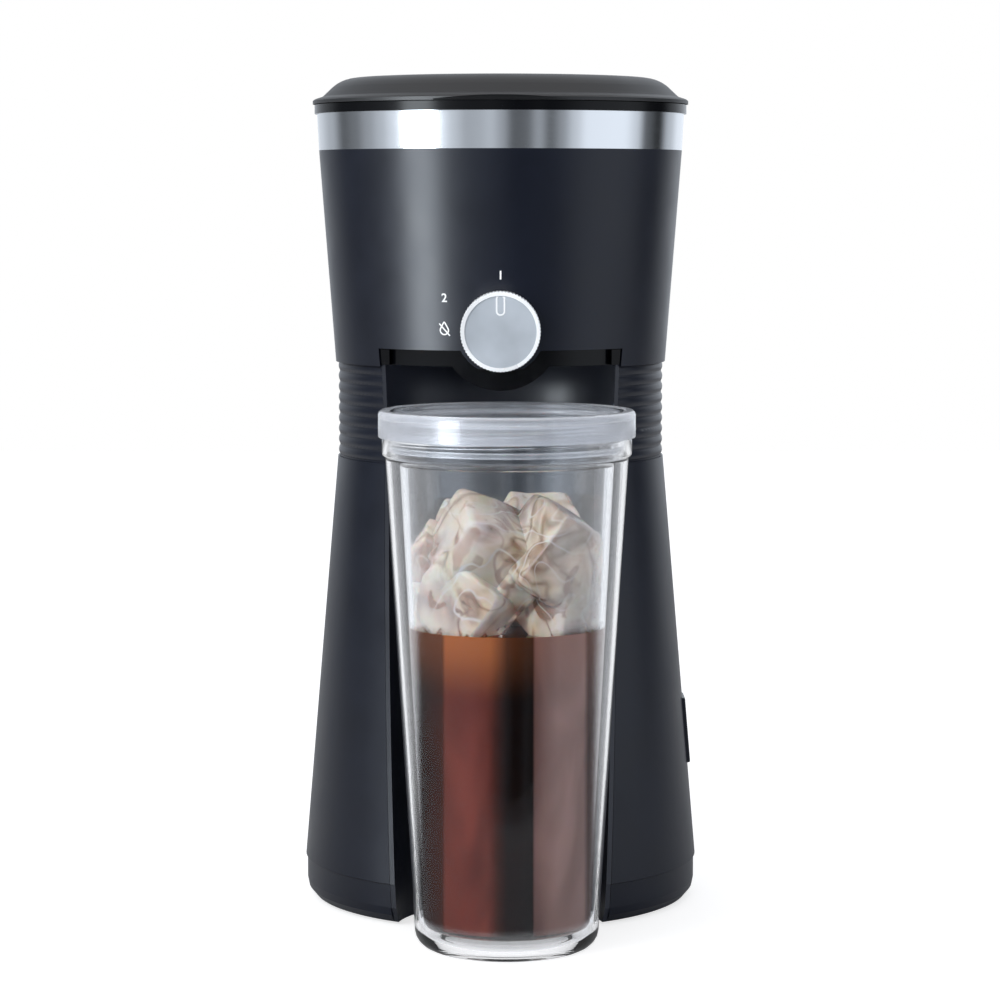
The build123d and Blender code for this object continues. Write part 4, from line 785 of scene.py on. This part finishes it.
def make_piece(
    shape: Shape,
    name: str,
    finish: Finish,
    body: str,
    replaced: Sequence[str] = (),
    sharp_degrees: float = 180.0,
) -> Piece:
    """Turns a finished shape into a piece that rides on a body.

    Args:
        shape: The shape, in metres and in place.
        name: Name of the piece.
        finish: What it is made of.
        body: The body that it moves with.
        replaced: The nodes that it stands for.
        sharp_degrees: Edges sharper than this stay sharp.

    Returns:
        The piece.
    """
    mesh = bpy.data.meshes.new(name)
    shape.to_mesh(mesh)
    shape.free()
    mesh.polygons.foreach_set("use_smooth", [True] * len(mesh.polygons))
    if sharp_degrees < 180:
        mesh.set_sharp_from_angle(angle=math.radians(sharp_degrees))
    mesh.materials.append(finish.material())
    piece = bpy.data.objects.new(name, mesh)
    bpy.context.scene.collection.objects.link(piece)
    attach(piece, body)
    if replaced:
        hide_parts(*replaced)
    LOG.info("piece %s: %d faces, %s", name, len(mesh.polygons), finish.name)
    return piece


def middle(node: str) -> Vector:
    """Middle of a node's box."""
    low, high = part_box(node)
    return (low + high) / 2


# Finishes of the tumbler and of what it holds

TUMBLER_X_MM = 2.3


@dataclass(frozen=True)
class ClearPlastic(Finish):
    """Polished clear plastic with the faint waviness of a blown or moulded wall."""

    colour: str
    roughness: float
    ior: float = 1.49
    specular: float = 0.5
    wave_mm: float = 14.0
    wave_depth_mm: float = 0.02
    draw: Point = (1.0, 1.0, 0.3)
    haze: Pair = (0.6, 1.4)
    clarity: float = 1.0
    calm: float = 1.0
    calm_half_mm: float = 34.0
    calm_fade_mm: float = 4.0
    calm_heights_mm: Pair = (13.0, 121.0)
    calm_rise_mm: float = 3.0
    let_through: float = 0.94

    def surface(self, tree: Tree) -> Socket:
        """Adds the clear plastic: slow waves in its surface, and a haze that comes and goes.

        Its flat front mirrors little, and light passes it to what the tumbler holds.

        Args:
            tree: The material's node tree.

        Returns:
            The finished surface.
        """
        wave = mottled(tree, object_coordinates(tree, self.draw), self.wave_mm, 1.5)
        low, high = self.haze
        shared = {
            "Roughness": remapped(tree, wave, (0.0, 1.0), (self.roughness * low, self.roughness * high)),
            "IOR": self.ior,
            "Normal": relief(tree, wave, self.wave_depth_mm),
        }
        colour = linear(self.colour)
        mirroring = {"Specular IOR Level": self.specular, "Transmission Weight": self.clarity}
        mirrored = principled(tree, {"Base Color": colour, **shared, **mirroring})
        unmirrored = add_node(tree, "ShaderNodeBsdfRefraction", {"Color": colour, **shared}).outputs[0]
        wall = mixed(tree, self.mirror_share(tree), unmirrored, mirrored)
        path = add_node(tree, "ShaderNodeLightPath").outputs
        lighting = maths(tree, "MAXIMUM", path["Is Shadow Ray"], path["Is Diffuse Ray"])
        passed = maths(tree, "MULTIPLY", lighting, self.clarity)
        open_air = add_node(tree, "ShaderNodeBsdfTransparent", {"Color": grey(self.let_through)}).outputs[0]
        return mixed(tree, passed, wall, open_air)

    def mirror_share(self, tree: Tree) -> Socket:
        """Adds how much of its mirroring the wall keeps: little on the front, all at its sides and ends.

        Args:
            tree: The material's node tree.

        Returns:
            The share, 0 to 1.
        """
        axes = axes_of(tree, object_coordinates(tree))
        aside = maths(tree, "ABSOLUTE", maths(tree, "ADD", axes["X"], -TUMBLER_X_MM * MM))
        span = ((self.calm_half_mm - self.calm_fade_mm) * MM, self.calm_half_mm * MM)
        beside = remapped(tree, aside, span, (self.calm, 1.0), smooth=True)
        low, high = self.calm_heights_mm
        off_middle = maths(tree, "ABSOLUTE", maths(tree, "ADD", axes["Z"], -(low + high) / 2 * MM))
        half = (high - low) / 2
        above = remapped(tree, off_middle, (half * MM, (half + self.calm_rise_mm) * MM))
        return maths(tree, "MAXIMUM", beside, above)


@dataclass(frozen=True)
class BrewedDrink(Finish):
    """Cold coffee: nearly opaque and near black, with a painted amber glow near its top and painted bands of
    light and reflection across its front.
    """

    # Colours across the front: the coffee's own near black, with painted red-brown light and painted
    # grey-brown reflection in bands
    coffee_and_painted_light_zones: Shades
    # The painted amber glow under the surface: its colour, and its strength across the front
    amber: str
    painted_glow_zones: Pairs
    surface_mm: float
    half_mm: float = 36.0
    painted_glow_mm: float = 24.0
    swirl_mm: float = 22.0
    swirl_draw: Point = (1.0, 1.0, 0.35)
    swirl_strength: Pair = (0.65, 1.35)

    def surface(self, tree: Tree) -> Socket:
        """Adds the drink: painted bands of light and reflection across its front, slow swirls, and a painted
        amber glow near its top.

        Args:
            tree: The material's node tree.

        Returns:
            The finished surface.
        """
        swirl = mottled(tree, object_coordinates(tree, self.swirl_draw), self.swirl_mm, 3.0, 0.8)
        strength = remapped(tree, swirl, (0.3, 0.7), self.swirl_strength)
        axes = axes_of(tree, object_coordinates(tree))
        sides = ((TUMBLER_X_MM - self.half_mm) * MM, (TUMBLER_X_MM + self.half_mm) * MM)
        across = remapped(tree, axes["X"], sides)
        # Painted bands of light and reflection across the front, over the coffee's own near black
        bands = graded(tree, across, [(self.share_at(at), linear(shade)) for at, shade in self.coffee_and_painted_light_zones])
        below = add_node(tree, "ShaderNodeVectorMath", {0: bands, "Scale": strength}, operation="SCALE")
        # Painted amber glow just under the surface, strongest where the glow zones say
        warm = graded(tree, across, [(self.share_at(at), grey(level)) for at, level in self.painted_glow_zones])
        heights = ((self.surface_mm - self.painted_glow_mm) * MM, self.surface_mm * MM)
        glow = maths(tree, "MULTIPLY", remapped(tree, axes["Z"], heights, smooth=True), warm)
        return principled(
            tree,
            {
                "Base Color": blended(tree, glow, below.outputs[0], linear(self.amber)),
                "Roughness": 0.05,
                "IOR": 1.34,
                "Specular IOR Level": 0.3,
                "Subsurface Weight": 0.2,
                "Subsurface Scale": 0.0015,
                "Subsurface Radius": (1.0, 0.35, 0.12),
            },
        )

    def share_at(self, across_mm: float) -> float:
        """Place on the colour ramps of a distance from the tumbler's axis."""
        return (across_mm + self.half_mm) / (2 * self.half_mm)


@dataclass(frozen=True)
class CloudedIce(Finish):
    """Freezer ice: marbled grey, cream and white, partly clouding and partly painted refraction, with
    painted highlight lines along curves and edges and amber where it is wet.
    """

    shades: Shades
    # Colour of the painted highlight lines
    ridge: str
    stain: str
    warm: str = "#f8dcb8"
    warmth: float = 0.45
    marble_mm: float = 26.0
    ridge_mm: float = 19.0
    # Where the painted highlight lines lie on the contour pattern, and from how sharp an edge they are
    # painted on the cubes' edges
    painted_highlight_lines: Pairs = (
        (0.406, 0.0), (0.415, 1.0), (0.421, 0.0), (0.579, 0.0), (0.585, 1.0), (0.594, 0.0),
    )
    painted_edge_highlight_span: Pair = (0.525, 0.57)
    hollow_mm: float = 12.0
    hollow_span: Pair = (0.56, 0.61)
    arc_mm: float = 24.0
    arc_lines: Pairs = ((0.48, 0.0), (0.5, 1.0), (0.52, 0.0))
    wet_mm: Pair = (118.0, 156.0)
    wet: Pair = (1.0, 0.4)
    dimple_mm: float = 1.6
    clarity: float = 0.7

    def surface(self, tree: Tree) -> Socket:
        """Adds the ice: marbled body with painted refraction in it, painted highlight lines along curves and
        edges, coffee in its hollows, melted dimples as bump.

        Args:
            tree: The material's node tree.

        Returns:
            The finished surface.
        """
        place = object_coordinates(tree)
        contour = mottled(tree, place, self.ridge_mm, 0.5, 0.5, seed=3.0)
        return principled(
            tree,
            {
                "Base Color": self.tint(tree, place, contour),
                "Roughness": 0.05,
                "IOR": 1.31,
                "Specular IOR Level": 1.0,
                "Transmission Weight": self.clarity,
                "Subsurface Weight": 0.35,
                "Subsurface Scale": 0.006,
                "Normal": relief(tree, contour, self.dimple_mm),
            },
        )

    def tint(self, tree: Tree, place: Socket, contour: Socket) -> Socket:
        """Adds the colours of the ice.

        Args:
            tree: The material's node tree.
            place: The coordinates, in metres.
            contour: The pattern that the painted highlight lines follow.

        Returns:
            The colour.
        """
        # The marbling is partly the ice's clouding and partly painted refraction of what lies around it
        marble = mottled(tree, place, self.marble_mm, 2.0, 0.8)
        body = graded(tree, marble, [(at, linear(shade)) for at, shade in self.shades])
        wet_span = (self.wet_mm[0] * MM, self.wet_mm[1] * MM)
        wet = remapped(tree, axes_of(tree, place)["Z"], wet_span, self.wet)
        warmth = maths(tree, "MULTIPLY", wet, self.warmth)
        warmed = blended(tree, warmth, body, linear(self.warm), multiplied=True)
        hollows = mottled(tree, place, self.hollow_mm, 1.5, 1.2)
        hollow = remapped(tree, hollows, self.hollow_span, smooth=True)
        arcs = mottled(tree, place, self.arc_mm, 0.5, 0.4, seed=7.0)
        streaks = graded(tree, arcs, [(at, grey(level)) for at, level in self.arc_lines])
        stained = maths(tree, "MULTIPLY", maths(tree, "MAXIMUM", hollow, streaks), wet)
        soaked = blended(tree, stained, warmed, linear(self.stain))
        # Painted highlights: thin bright lines along the contour and on the cubes' sharp edges
        painted_highlights = graded(tree, contour, [(at, grey(level)) for at, level in self.painted_highlight_lines])
        pointiness = add_node(tree, "ShaderNodeNewGeometry").outputs["Pointiness"]
        bright = maths(tree, "MAXIMUM", painted_highlights, remapped(tree, pointiness, self.painted_edge_highlight_span))
        return blended(tree, bright, soaked, linear(self.ridge))


# Clear styrene-acrylonitrile, moulded: sharp bright edges, everything behind it drawn thin at its rims
CLEAR_WALL = ClearPlastic("clear_san_wall", "#fcfdff", 0.015, specular=0.5, calm=0.08)
CLEAR_CUP = ClearPlastic(
    "clear_san_cup", "#f8fafc", 0.02, specular=0.35, wave_mm=9.0, wave_depth_mm=0.03, calm=0.08
)
# The same plastic where the thick rim scatters light: milky, with a soft bright edge
MILKY_RIM = ClearPlastic("milky_san_rim", "#f8faff", 0.2, specular=0.5, clarity=0.76, wave_mm=5.0)
# Cold-brewed coffee: near-black body with painted bands of red-brown light and grey-brown reflection, and a
# painted amber glow under the surface
COLD_COFFEE = BrewedDrink(
    "cold_coffee",
    (
        (-34, "#150a07"), (-30, "#1e0e09"), (-24, "#3c170e"), (-22.6, "#451c10"), (-21.6, "#7c3a2e"),
        (-12, "#904438"), (-7, "#8c4438"), (-4, "#5c2a20"), (-2.4, "#3f1b13"), (0, "#1d0e0a"),
        (9, "#150c0a"), (9.9, "#866159"), (18, "#a5837a"), (27, "#a08078"), (28.4, "#5c4540"),
    ),
    "#d27a46",
    ((-34, 0.2), (-22.6, 0.25), (-21.6, 0.9), (-6, 0.9), (0, 0.2), (9, 0.12), (11, 0.15), (34, 0.1)),
    119.6,
)
# Household ice: pale, a little warm, with clouded hearts and painted refraction, painted white highlight
# lines, and coffee in its hollows
HOUSE_ICE = CloudedIce(
    "clouded_ice",
    (
        (0.30, "#8f7f7c"), (0.39, "#d9ccc8"), (0.46, "#fffaf3"), (0.53, "#fdeedb"),
        (0.59, "#b39c85"), (0.66, "#fff3e2"), (0.75, "#cbb9a8"),
    ),
    "#ffffff",
    "#8f5426",
)


@dataclass
class Tumbler:
    """Clear double-wall tumbler: outer wall, and inner cup with its rim and thread, in millimetres."""

    foot: float = 34.0
    foot_ring: Pair = (9.5, 10.5)
    foot_hollow: float = 1.2
    foot_gap: float = 0.02
    shoulder: float = 45.0
    neck: float = 46.2
    rim: float = 47.5
    rim_wall: float = 1.0
    rim_under: float = 3.1
    skirt: float = 10.0
    shoulder_at: float = 183.0
    wall: float = 1.6
    top: float = 200.6
    wall_top: float = 3.2
    cup_wall: float = 2.0
    cup_floor_at: float = 10.0
    cup_floor: float = 29.5
    cup_shoulder: float = 37.7
    mouth: float = 41.5
    thread_at: Pair = (186.6, 197.1)
    thread_pitch: float = 4.2
    thread_depth: float = 0.9
    thread_fade: float = 1.2
    thread_cuts: int = 36
    thread_power: float = 1.5
    ring_levels: Point = (0.0, 0.5, 1.0)
    ring_root: float = 1.1
    ring_crest: float = 0.5
    ring_depth: float = 0.8

    def build(self) -> None:
        """Makes the outer wall, the cup and its rim."""
        self.outer_wall()
        self.cup()
        self.lip()

    @property
    def axis(self) -> Point:
        """A point on the tumbler's axis, on the counter."""
        centre = middle("tumbler_shell")
        return (centre.x, centre.y, 0.0)

    def outer_wall(self) -> None:
        """Makes the outer wall with its thick rounded foot."""
        hollow, wall = self.foot_hollow, self.wall
        floor_at = hollow + wall
        top = self.top - self.wall_top
        outline = [
            Corner(0, hollow),
            Corner(self.foot - self.foot_ring[1], hollow, 0.4),
            Corner(self.foot - self.foot_ring[0], self.foot_gap, 0.4),
            Corner(self.foot, self.foot_gap, 6.0),
            Corner(self.shoulder, self.shoulder_at, 0.5),
            Corner(self.neck, self.shoulder_at + 1.2, 0.5),
            Corner(self.neck, top, 0.3),
            Corner(self.neck - wall, top, 0.3),
            Corner(self.neck - wall, self.shoulder_at + 1.2, 0.5),
            Corner(self.shoulder - wall, self.shoulder_at, 0.5),
            Corner(self.foot - wall, floor_at, 5.0),
            Corner(0, floor_at),
        ]
        shape = turned(outline, self.axis)
        make_piece(
            shape, "tumbler_wall_clear", CLEAR_WALL, "tumbler", ["tumbler_shell"], 60
        )

    def cup(self) -> None:
        """Makes the inner cup with the thread raised on the inside of its mouth."""
        wall, top = self.cup_wall, self.top - 0.4
        outline = [
            Corner(0, self.cup_floor_at - wall),
            Corner(self.cup_floor + wall - 0.3, self.cup_floor_at - wall, 2.5),
            Corner(self.cup_shoulder + wall, self.shoulder_at - 2, 0.6),
            Corner(self.mouth + wall, self.shoulder_at + 1, 0.6),
            Corner(self.mouth + wall, top, 0.4),
            Corner(self.mouth, top, 0.9),
            Corner(self.mouth, self.thread_at[1]),
            Corner(self.mouth, self.thread_at[0]),
            Corner(self.mouth, self.shoulder_at + 1, 0.6),
            Corner(self.cup_shoulder, self.shoulder_at - 2, 0.6),
            Corner(self.cup_floor, self.cup_floor_at, 2.0),
            Corner(0, self.cup_floor_at),
        ]
        shape = turned(outline, (0, 0, 0), steps=192)
        self.raise_thread(shape)
        shift_shape(shape, self.axis)
        make_piece(shape, "tumbler_cup_clear", CLEAR_CUP, "tumbler", ["tumbler_cup"], 60)

    def lip(self) -> None:
        """Makes the rolled rim, its skirt over the outer wall's edge, and milky rings in the thread."""
        top, inside, outside = self.top, self.mouth + self.cup_wall + 0.08, self.rim - self.rim_wall
        under = top - self.rim_under
        outline = [
            Corner(inside, under, 0.2),
            Corner(outside, under, 0.2),
            Corner(outside, top - self.skirt, 0.2),
            Corner(self.rim, top - self.skirt, 0.3),
            Corner(self.rim, top, 1.8),
            Corner(inside, top, 0.6),
        ]
        shape = turned(outline, self.axis, closed=True)
        low, high = self.thread_at
        for share in self.ring_levels:
            level = low + (high - low) * share
            ring = [
                Corner(self.mouth + 0.05, level - self.ring_root),
                Corner(self.mouth + 0.05, level + self.ring_root),
                Corner(self.mouth - self.ring_depth, level + self.ring_crest, 0.3),
                Corner(self.mouth - self.ring_depth, level - self.ring_crest, 0.3),
            ]
            absorb(shape, turned(ring, self.axis, closed=True))
        make_piece(shape, "tumbler_rim_milky", MILKY_RIM, "tumbler", sharp_degrees=60)

    def raise_thread(self, shape: Shape) -> None:
        """Cuts the mouth's wall into fine rings and lifts a spiral ridge out of them.

        Args:
            shape: The cup, centred on the upright axis.
        """
        low, high = self.thread_at
        tall = []
        for edge in shape.edges:
            one, other = (vert.co for vert in edge.verts)
            on_wall = all(abs(place.xy.length - self.mouth * MM) < 1e-5 for place in (one, other))
            long = abs(one.z - other.z) > (high - low) * MM * 0.9
            if on_wall and long and (one.z + other.z) / 2 > low * MM:
                tall.append(edge)
        bmesh.ops.subdivide_edges(shape, edges=tall, cuts=self.thread_cuts, use_grid_fill=True)
        for vert in shape.verts:
            height = vert.co.z / MM
            reach = vert.co.xy.length / MM
            if abs(reach - self.mouth) > 0.05 or not low < height < high:
                continue
            turn = math.atan2(vert.co.y, vert.co.x) / (2 * math.pi)
            phase = (height - low) / self.thread_pitch - turn
            ridge = max(0.0, math.cos(2 * math.pi * phase)) ** self.thread_power
            ends = min(1.0, (height - low) / self.thread_fade, (high - height) / self.thread_fade)
            inward = self.thread_depth * ridge * ends
            vert.co.x *= (reach - inward) / reach
            vert.co.y *= (reach - inward) / reach


@dataclass(frozen=True)
class IceCube:
    """One cube: its middle from the tumbler's axis, its size in millimetres and its turn in degrees."""

    across: float
    depth: float
    height: float
    size: float
    turn: Point


@dataclass
class IcedDrink:
    """Coffee in the cup and the ice that stands out of it, in millimetres."""

    axis: Point
    surface: float = 119.6
    floor_at: float = 10.1
    floor_radius: float = 29.5
    surface_radius: float = 34.76
    reach: float = 0.3
    climb: float = 1.2
    cup_taper: float = 0.04795
    ice_gap: float = 0.4
    melt: float = 0.11
    swell: Pair = (0.7, 0.10)
    nick: Pair = (0.22, 0.018)
    cube_step: Point = (3.1, 1.7, 2.3)
    cubes: tuple[IceCube, ...] = (
        IceCube(-9, -15, 150, 30, (32, 20, 24)),
        IceCube(-15, -18, 130, 28, (38, 14, 58)),
        IceCube(-28, -6, 130, 18, (12, -24, 38)),
        IceCube(17, -14, 148, 31, (14, 34, 34)),
        IceCube(21, -13, 127, 26, (38, 6, 52)),
        IceCube(-27, -2, 146, 19, (20, 35, 10)),
        IceCube(-13, 15, 147, 27, (15, 25, 60)),
        IceCube(12, 17, 151, 27, (30, 8, 25)),
        IceCube(1, 17, 132, 27, (5, 20, 40)),
        IceCube(3, -20, 138, 13, (30, 30, 20)),
        IceCube(29, 2, 143, 16, (10, 30, 50)),
    )

    def build(self) -> None:
        """Makes the coffee and the ice."""
        self.coffee()
        self.ice()

    def coffee(self) -> None:
        """Makes the coffee, whose skin lies inside the cup's wall and climbs it a little at its surface."""
        floor_at = self.floor_at - self.reach
        outline = [
            Corner(0, floor_at),
            Corner(self.floor_radius + self.reach, floor_at, 2.0),
            Corner(self.surface_radius + self.reach + 0.06, self.surface + self.climb),
            Corner(self.surface_radius - 0.5, self.surface + 0.25, 0.4),
            Corner(self.surface_radius - 2.2, self.surface, 0.5),
            Corner(0, self.surface),
        ]
        make_piece(turned(outline, self.axis), "iced_coffee", COLD_COFFEE, "tumbler", sharp_degrees=60)

    def ice(self) -> None:
        """Makes the ice: cubes with melted edges and hollow faces, kept inside the cup."""
        whole = bmesh.new()
        for number, cube in enumerate(self.cubes):
            shape = self.melted_cube(cube.size * MM, number)
            for degrees, axis in zip(cube.turn, "XYZ"):
                turn_shape(shape, degrees, axis)
            shift_shape(shape, (cube.across * MM, cube.depth * MM, cube.height * MM))
            absorb(whole, shape)
        for vert in whole.verts:
            room = self.floor_radius + (vert.co.z / MM - self.floor_at) * self.cup_taper - self.ice_gap
            reach = vert.co.xy.length / MM
            if reach > room:
                vert.co.x *= room / reach
                vert.co.y *= room / reach
        shift_shape(whole, self.axis)
        make_piece(whole, "ice_cubes", HOUSE_ICE, "tumbler")

    def melted_cube(self, size: float, seed: int) -> Shape:
        """Makes one cube about the origin.

        Args:
            size: Its width in metres.
            seed: Which cube it is, so that no two are alike.

        Returns:
            The cube's shape.
        """
        shape = bmesh.new()
        bmesh.ops.create_cube(shape, size=size)
        rounded(shape, shape.edges[:], size * self.melt, 2)
        bmesh.ops.subdivide_edges(shape, edges=shape.edges[:], cuts=3, use_grid_fill=True, smooth=0.2)
        shift = Vector([seed * step for step in self.cube_step])
        for vert in shape.verts:
            swell, nick = (
                noise.noise(vert.co / (size * width) + shift) * height
                for width, height in (self.swell, self.nick)
            )
            vert.co += vert.co.normalized() * size * (swell + nick)
        bmesh.ops.smooth_vert(
            shape, verts=shape.verts, factor=0.5, use_axis_x=True, use_axis_y=True, use_axis_z=True
        )
        return shape


@dataclass
class Markings:
    """White prints beside the knob, and the bright frame of its pointer, in millimetres."""

    low: Pair = (65.3, 213.8)
    high: Pair = (71.6, 296.7)
    digit_height: float = 3.2
    digit_share: float = 0.7
    digit_spread: float = 0.07
    one_at: Pair = (0.0, 249.3)
    two_at: Pair = (-21.6, 240.7)
    drop_at: Pair = (-21.6, 228.4)
    drop_radius: float = 1.9
    drop_tip: Pair = (0.75, 0.35)
    bar_half: float = 3.1
    bar_tilt: float = 42.0
    bar_shift: Pair = (0.1, 0.2)
    stroke: float = 0.5
    proud: float = 0.05
    pointer_width: float = 3.6
    pointer_length: float = 8.0
    pointer_line: float = 0.65
    pointer_above: float = 0.6
    pointer_thickness: float = 0.5
    pointer_sink: float = 0.38
    pointer_edge: float = 0.2

    def build(self) -> None:
        """Makes the prints on the head and the pointer's frame."""
        self.place_print(self.digit("1"), self.one_at, "mark_one")
        self.place_print(self.digit("2"), self.two_at, "mark_two")
        self.place_print(self.crossed_drop(), self.drop_at, "mark_crossed_drop")
        self.pointer_frame()

    def digit(self, text: str) -> Shape:
        """Makes a digit flat in X and Z about its own middle.

        Args:
            text: The digit.

        Returns:
            Its flat shape.
        """
        curve = bpy.data.curves.new("digit", "FONT")
        curve.body = text
        curve.size = self.digit_height * MM / self.digit_share
        curve.offset = self.digit_spread * MM
        writing = bpy.data.objects.new("digit", curve)
        bpy.context.scene.collection.objects.link(writing)
        bpy.context.view_layer.update()
        mesh = bpy.data.meshes.new_from_object(writing.evaluated_get(bpy.context.evaluated_depsgraph_get()))
        shape = bmesh.new()
        shape.from_mesh(mesh)
        bpy.data.objects.remove(writing)
        bpy.data.curves.remove(curve)
        bpy.data.meshes.remove(mesh)
        bmesh.ops.remove_doubles(shape, verts=shape.verts, dist=WELD)
        spans = [[vert.co[axis] for vert in shape.verts] for axis in (0, 1)]
        centre = Vector([-(min(span) + max(span)) / 2 for span in spans] + [0])
        shift_shape(shape, centre)
        turn_shape(shape, 90, "X")
        return shape

    def crossed_drop(self) -> Shape:
        """Makes the outline of a drop with a stroke across it, flat in X and Z.

        Returns:
            Its flat shape.
        """
        shape = bmesh.new()
        bmesh.ops.create_circle(shape, cap_ends=True, segments=36, radius=self.drop_radius * MM)
        taller, slimmer = self.drop_tip
        for vert in shape.verts:
            rise = vert.co.y / (self.drop_radius * MM)
            if rise > 0:
                vert.co.y *= 1 + taller * rise**2
                vert.co.x *= 1 - slimmer * rise**2
        hollow_out(shape, self.stroke * MM)
        bar = bmesh.new()
        bmesh.ops.create_grid(bar, x_segments=1, y_segments=6, size=1.0)
        bmesh.ops.scale(bar, vec=(self.stroke * MM / 2, self.bar_half * MM, 1), verts=bar.verts)
        turn_shape(bar, self.bar_tilt, "Z")
        shift_shape(bar, (self.bar_shift[0] * MM, self.bar_shift[1] * MM, 0))
        absorb(shape, bar)
        turn_shape(shape, 90, "X")
        return shape

    def wall_radius(self, height: float) -> float:
        """Outer radius of the head at a height."""
        share = (height - self.low[1]) / (self.high[1] - self.low[1])
        return self.low[0] + share * (self.high[0] - self.low[0])

    def place_print(self, shape: Shape, at: Pair, name: str) -> None:
        """Wraps a flat print onto the head's tapered wall and gives it its thickness.

        Args:
            shape: The print, flat in X and Z about its own middle.
            at: Its middle across and up, in millimetres.
            name: Name of the piece.
        """
        for vert in shape.verts:
            height = vert.co.z / MM + at[1]
            reach = self.wall_radius(height) + self.proud
            turn = (vert.co.x / MM + at[0]) / self.wall_radius(at[1])
            vert.co = Vector((reach * math.sin(turn), -reach * math.cos(turn), height)) * MM
        bmesh.ops.recalc_face_normals(shape, faces=shape.faces)
        for face in shape.faces:
            if face.normal.y > 0:
                face.normal_flip()
        bmesh.ops.solidify(shape, geom=shape.faces[:], thickness=self.proud * 1.2 * MM)
        make_piece(shape, name, WHITE_PRINT, "machine", sharp_degrees=40)

    def pointer_frame(self) -> None:
        """Makes the bright frame that lies in the groove of the knob's face, cut off at the face's edge."""
        low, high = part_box("knob_face")
        centre = (low + high) / 2
        edge = centre.z + (high.z - low.z) / 2
        shape = bmesh.new()
        bmesh.ops.create_circle(shape, cap_ends=True, segments=40, radius=self.pointer_width * MM / 2)
        straight = (self.pointer_length - self.pointer_width) * MM / 2
        for vert in shape.verts:
            vert.co.y += straight if vert.co.y > 1e-7 else -straight
        hollow_out(shape, self.pointer_line * MM)
        raised = bmesh.ops.extrude_face_region(shape, geom=shape.faces[:])["geom"]
        corners = [part for part in raised if isinstance(part, bmesh.types.BMVert)]
        bmesh.ops.translate(shape, vec=(0, 0, self.pointer_thickness * MM), verts=corners)
        turn_shape(shape, 90, "X")
        up = edge + (self.pointer_above - self.pointer_length / 2) * MM
        shift_shape(shape, (centre.x, low.y + self.pointer_sink * MM, up))
        cut = bmesh.ops.bisect_plane(
            shape,
            geom=shape.verts[:] + shape.edges[:] + shape.faces[:],
            plane_co=(0, 0, edge - self.pointer_edge * MM),
            plane_no=(0, 0, 1),
            clear_outer=True,
        )["geom_cut"]
        rims = [part for part in cut if isinstance(part, bmesh.types.BMEdge)]
        bmesh.ops.holes_fill(shape, edges=rims, sides=0)
        bmesh.ops.recalc_face_normals(shape, faces=shape.faces)
        make_piece(shape, "pointer_frame", KNOB_SILVER, "knob", sharp_degrees=40)


# The model's own nodes and their finishes

FINISHED_NODES: tuple[tuple[Finish, tuple[str, ...]], ...] = (
    (BODY_BLACK, ("base_pan", "lower_shell", "rib_band", "head_shell", "switch_housing")),
    (CHIN_BLACK, ("rim_collar", "spout_visor")),
    (LINER_BLACK_PAINTED_LIGHT, ("recess_liner",)),
    (LID_BLACK, ("lid_cover",)),
    (ROCKER_BLACK, ("switch_rocker",)),
    (BASKET_BLACK, ("brew_basket", "filter_frame")),
    (INNER_GREY, ("top_deck", "water_tank", "tank_strainer", "basket_well", "lid_inner")),
    (NATURAL_PLASTIC, ("check_valve", "valve_guide", "knob_bushing", "riser_port")),
    (NATURAL_PLASTIC, ("knob_cam", "valve_lifter", "valve_stem", "spray_disc")),
    (SILICONE, ("tumbler_shell", "tumbler_cup", "inlet_hose", "riser_hose")),
    (SILICONE, ("shaft_seal", "valve_seal", "lid_seal", "port_seal")),
    (GLAND_RUBBER, ("cord_gland",)),
    (FOOT_RUBBER, ("foot_strip",)),
    (WIRE_COVER, ("wiring",)),
    (BAND_STEEL, ("steel_band",)),
    (ZINC_STEEL, ("base_screws", "hinge_pin", "heater_bracket", "heater_strap", "heater_screws")),
    (ZINC_STEEL, ("knob_shaft", "stem_clip", "valve_spring", "lid_screws")),
    (ELEMENT_STEEL, ("heating_element",)),
    (CAP_ALUMINIUM, ("thermostat",)),
    (TUBE_ALUMINIUM, ("water_tube",)),
    (BRASS, ("switch_terminals",)),
    (KNOB_SILVER, ("knob_body",)),
    (KNOB_GREY, ("knob_face",)),
    (NYLON_MESH, ("filter_mesh",)),
    (FUSE_SLEEVE, ("thermal_fuses",)),
)
NO_STRIP_SHEEN = ("tumbler_shell", "tumbler_cup", "spout_visor")


def dress_nodes() -> list[Piece]:
    """Gives each of the model's nodes its finish.

    Returns:
        The nodes that show the strip box's sheen.
    """
    sheen_on = []
    for finish, names in FINISHED_NODES:
        for name in names:
            node = FRAME["nodes"][name]
            node.data.materials.clear()
            node.data.materials.append(finish.material())
            if name not in NO_STRIP_SHEEN:
                sheen_on.append(node)
            LOG.info("node %s: %s", name, finish.name)
    return sheen_on


def main() -> None:
    """Builds the studio and the object's pieces in order."""
    studio = Studio()
    studio.build()
    sheen_on = dress_nodes()
    tumbler = Tumbler()
    tumbler.build()
    IcedDrink(tumbler.axis).build()
    Markings().build()
    nodes, pieces = FRAME["nodes"], bpy.data.objects
    studio.strip_box(sheen_on + [pieces["tumbler_rim_milky"]])
    studio.accent("ice_lamp", (-0.55, -0.85, 0.75), size=0.22, power=27.0, on=[pieces["ice_cubes"]])
    liner = [nodes["recess_liner"]]
    studio.accent("bay_lamp", (0.3, -1.2, 0.25), size=0.4, power=5.0, on=liner, mirrored=False)
    bright = [nodes["knob_body"], nodes["knob_face"]]
    bright += [pieces[name] for name in ("pointer_frame", "mark_one", "mark_two", "mark_crossed_drop")]
    studio.accent("knob_lamp", (-0.35, -1.1, 0.7), size=0.4, power=7.0, on=bright)


if __name__ == "__main__":
    main()
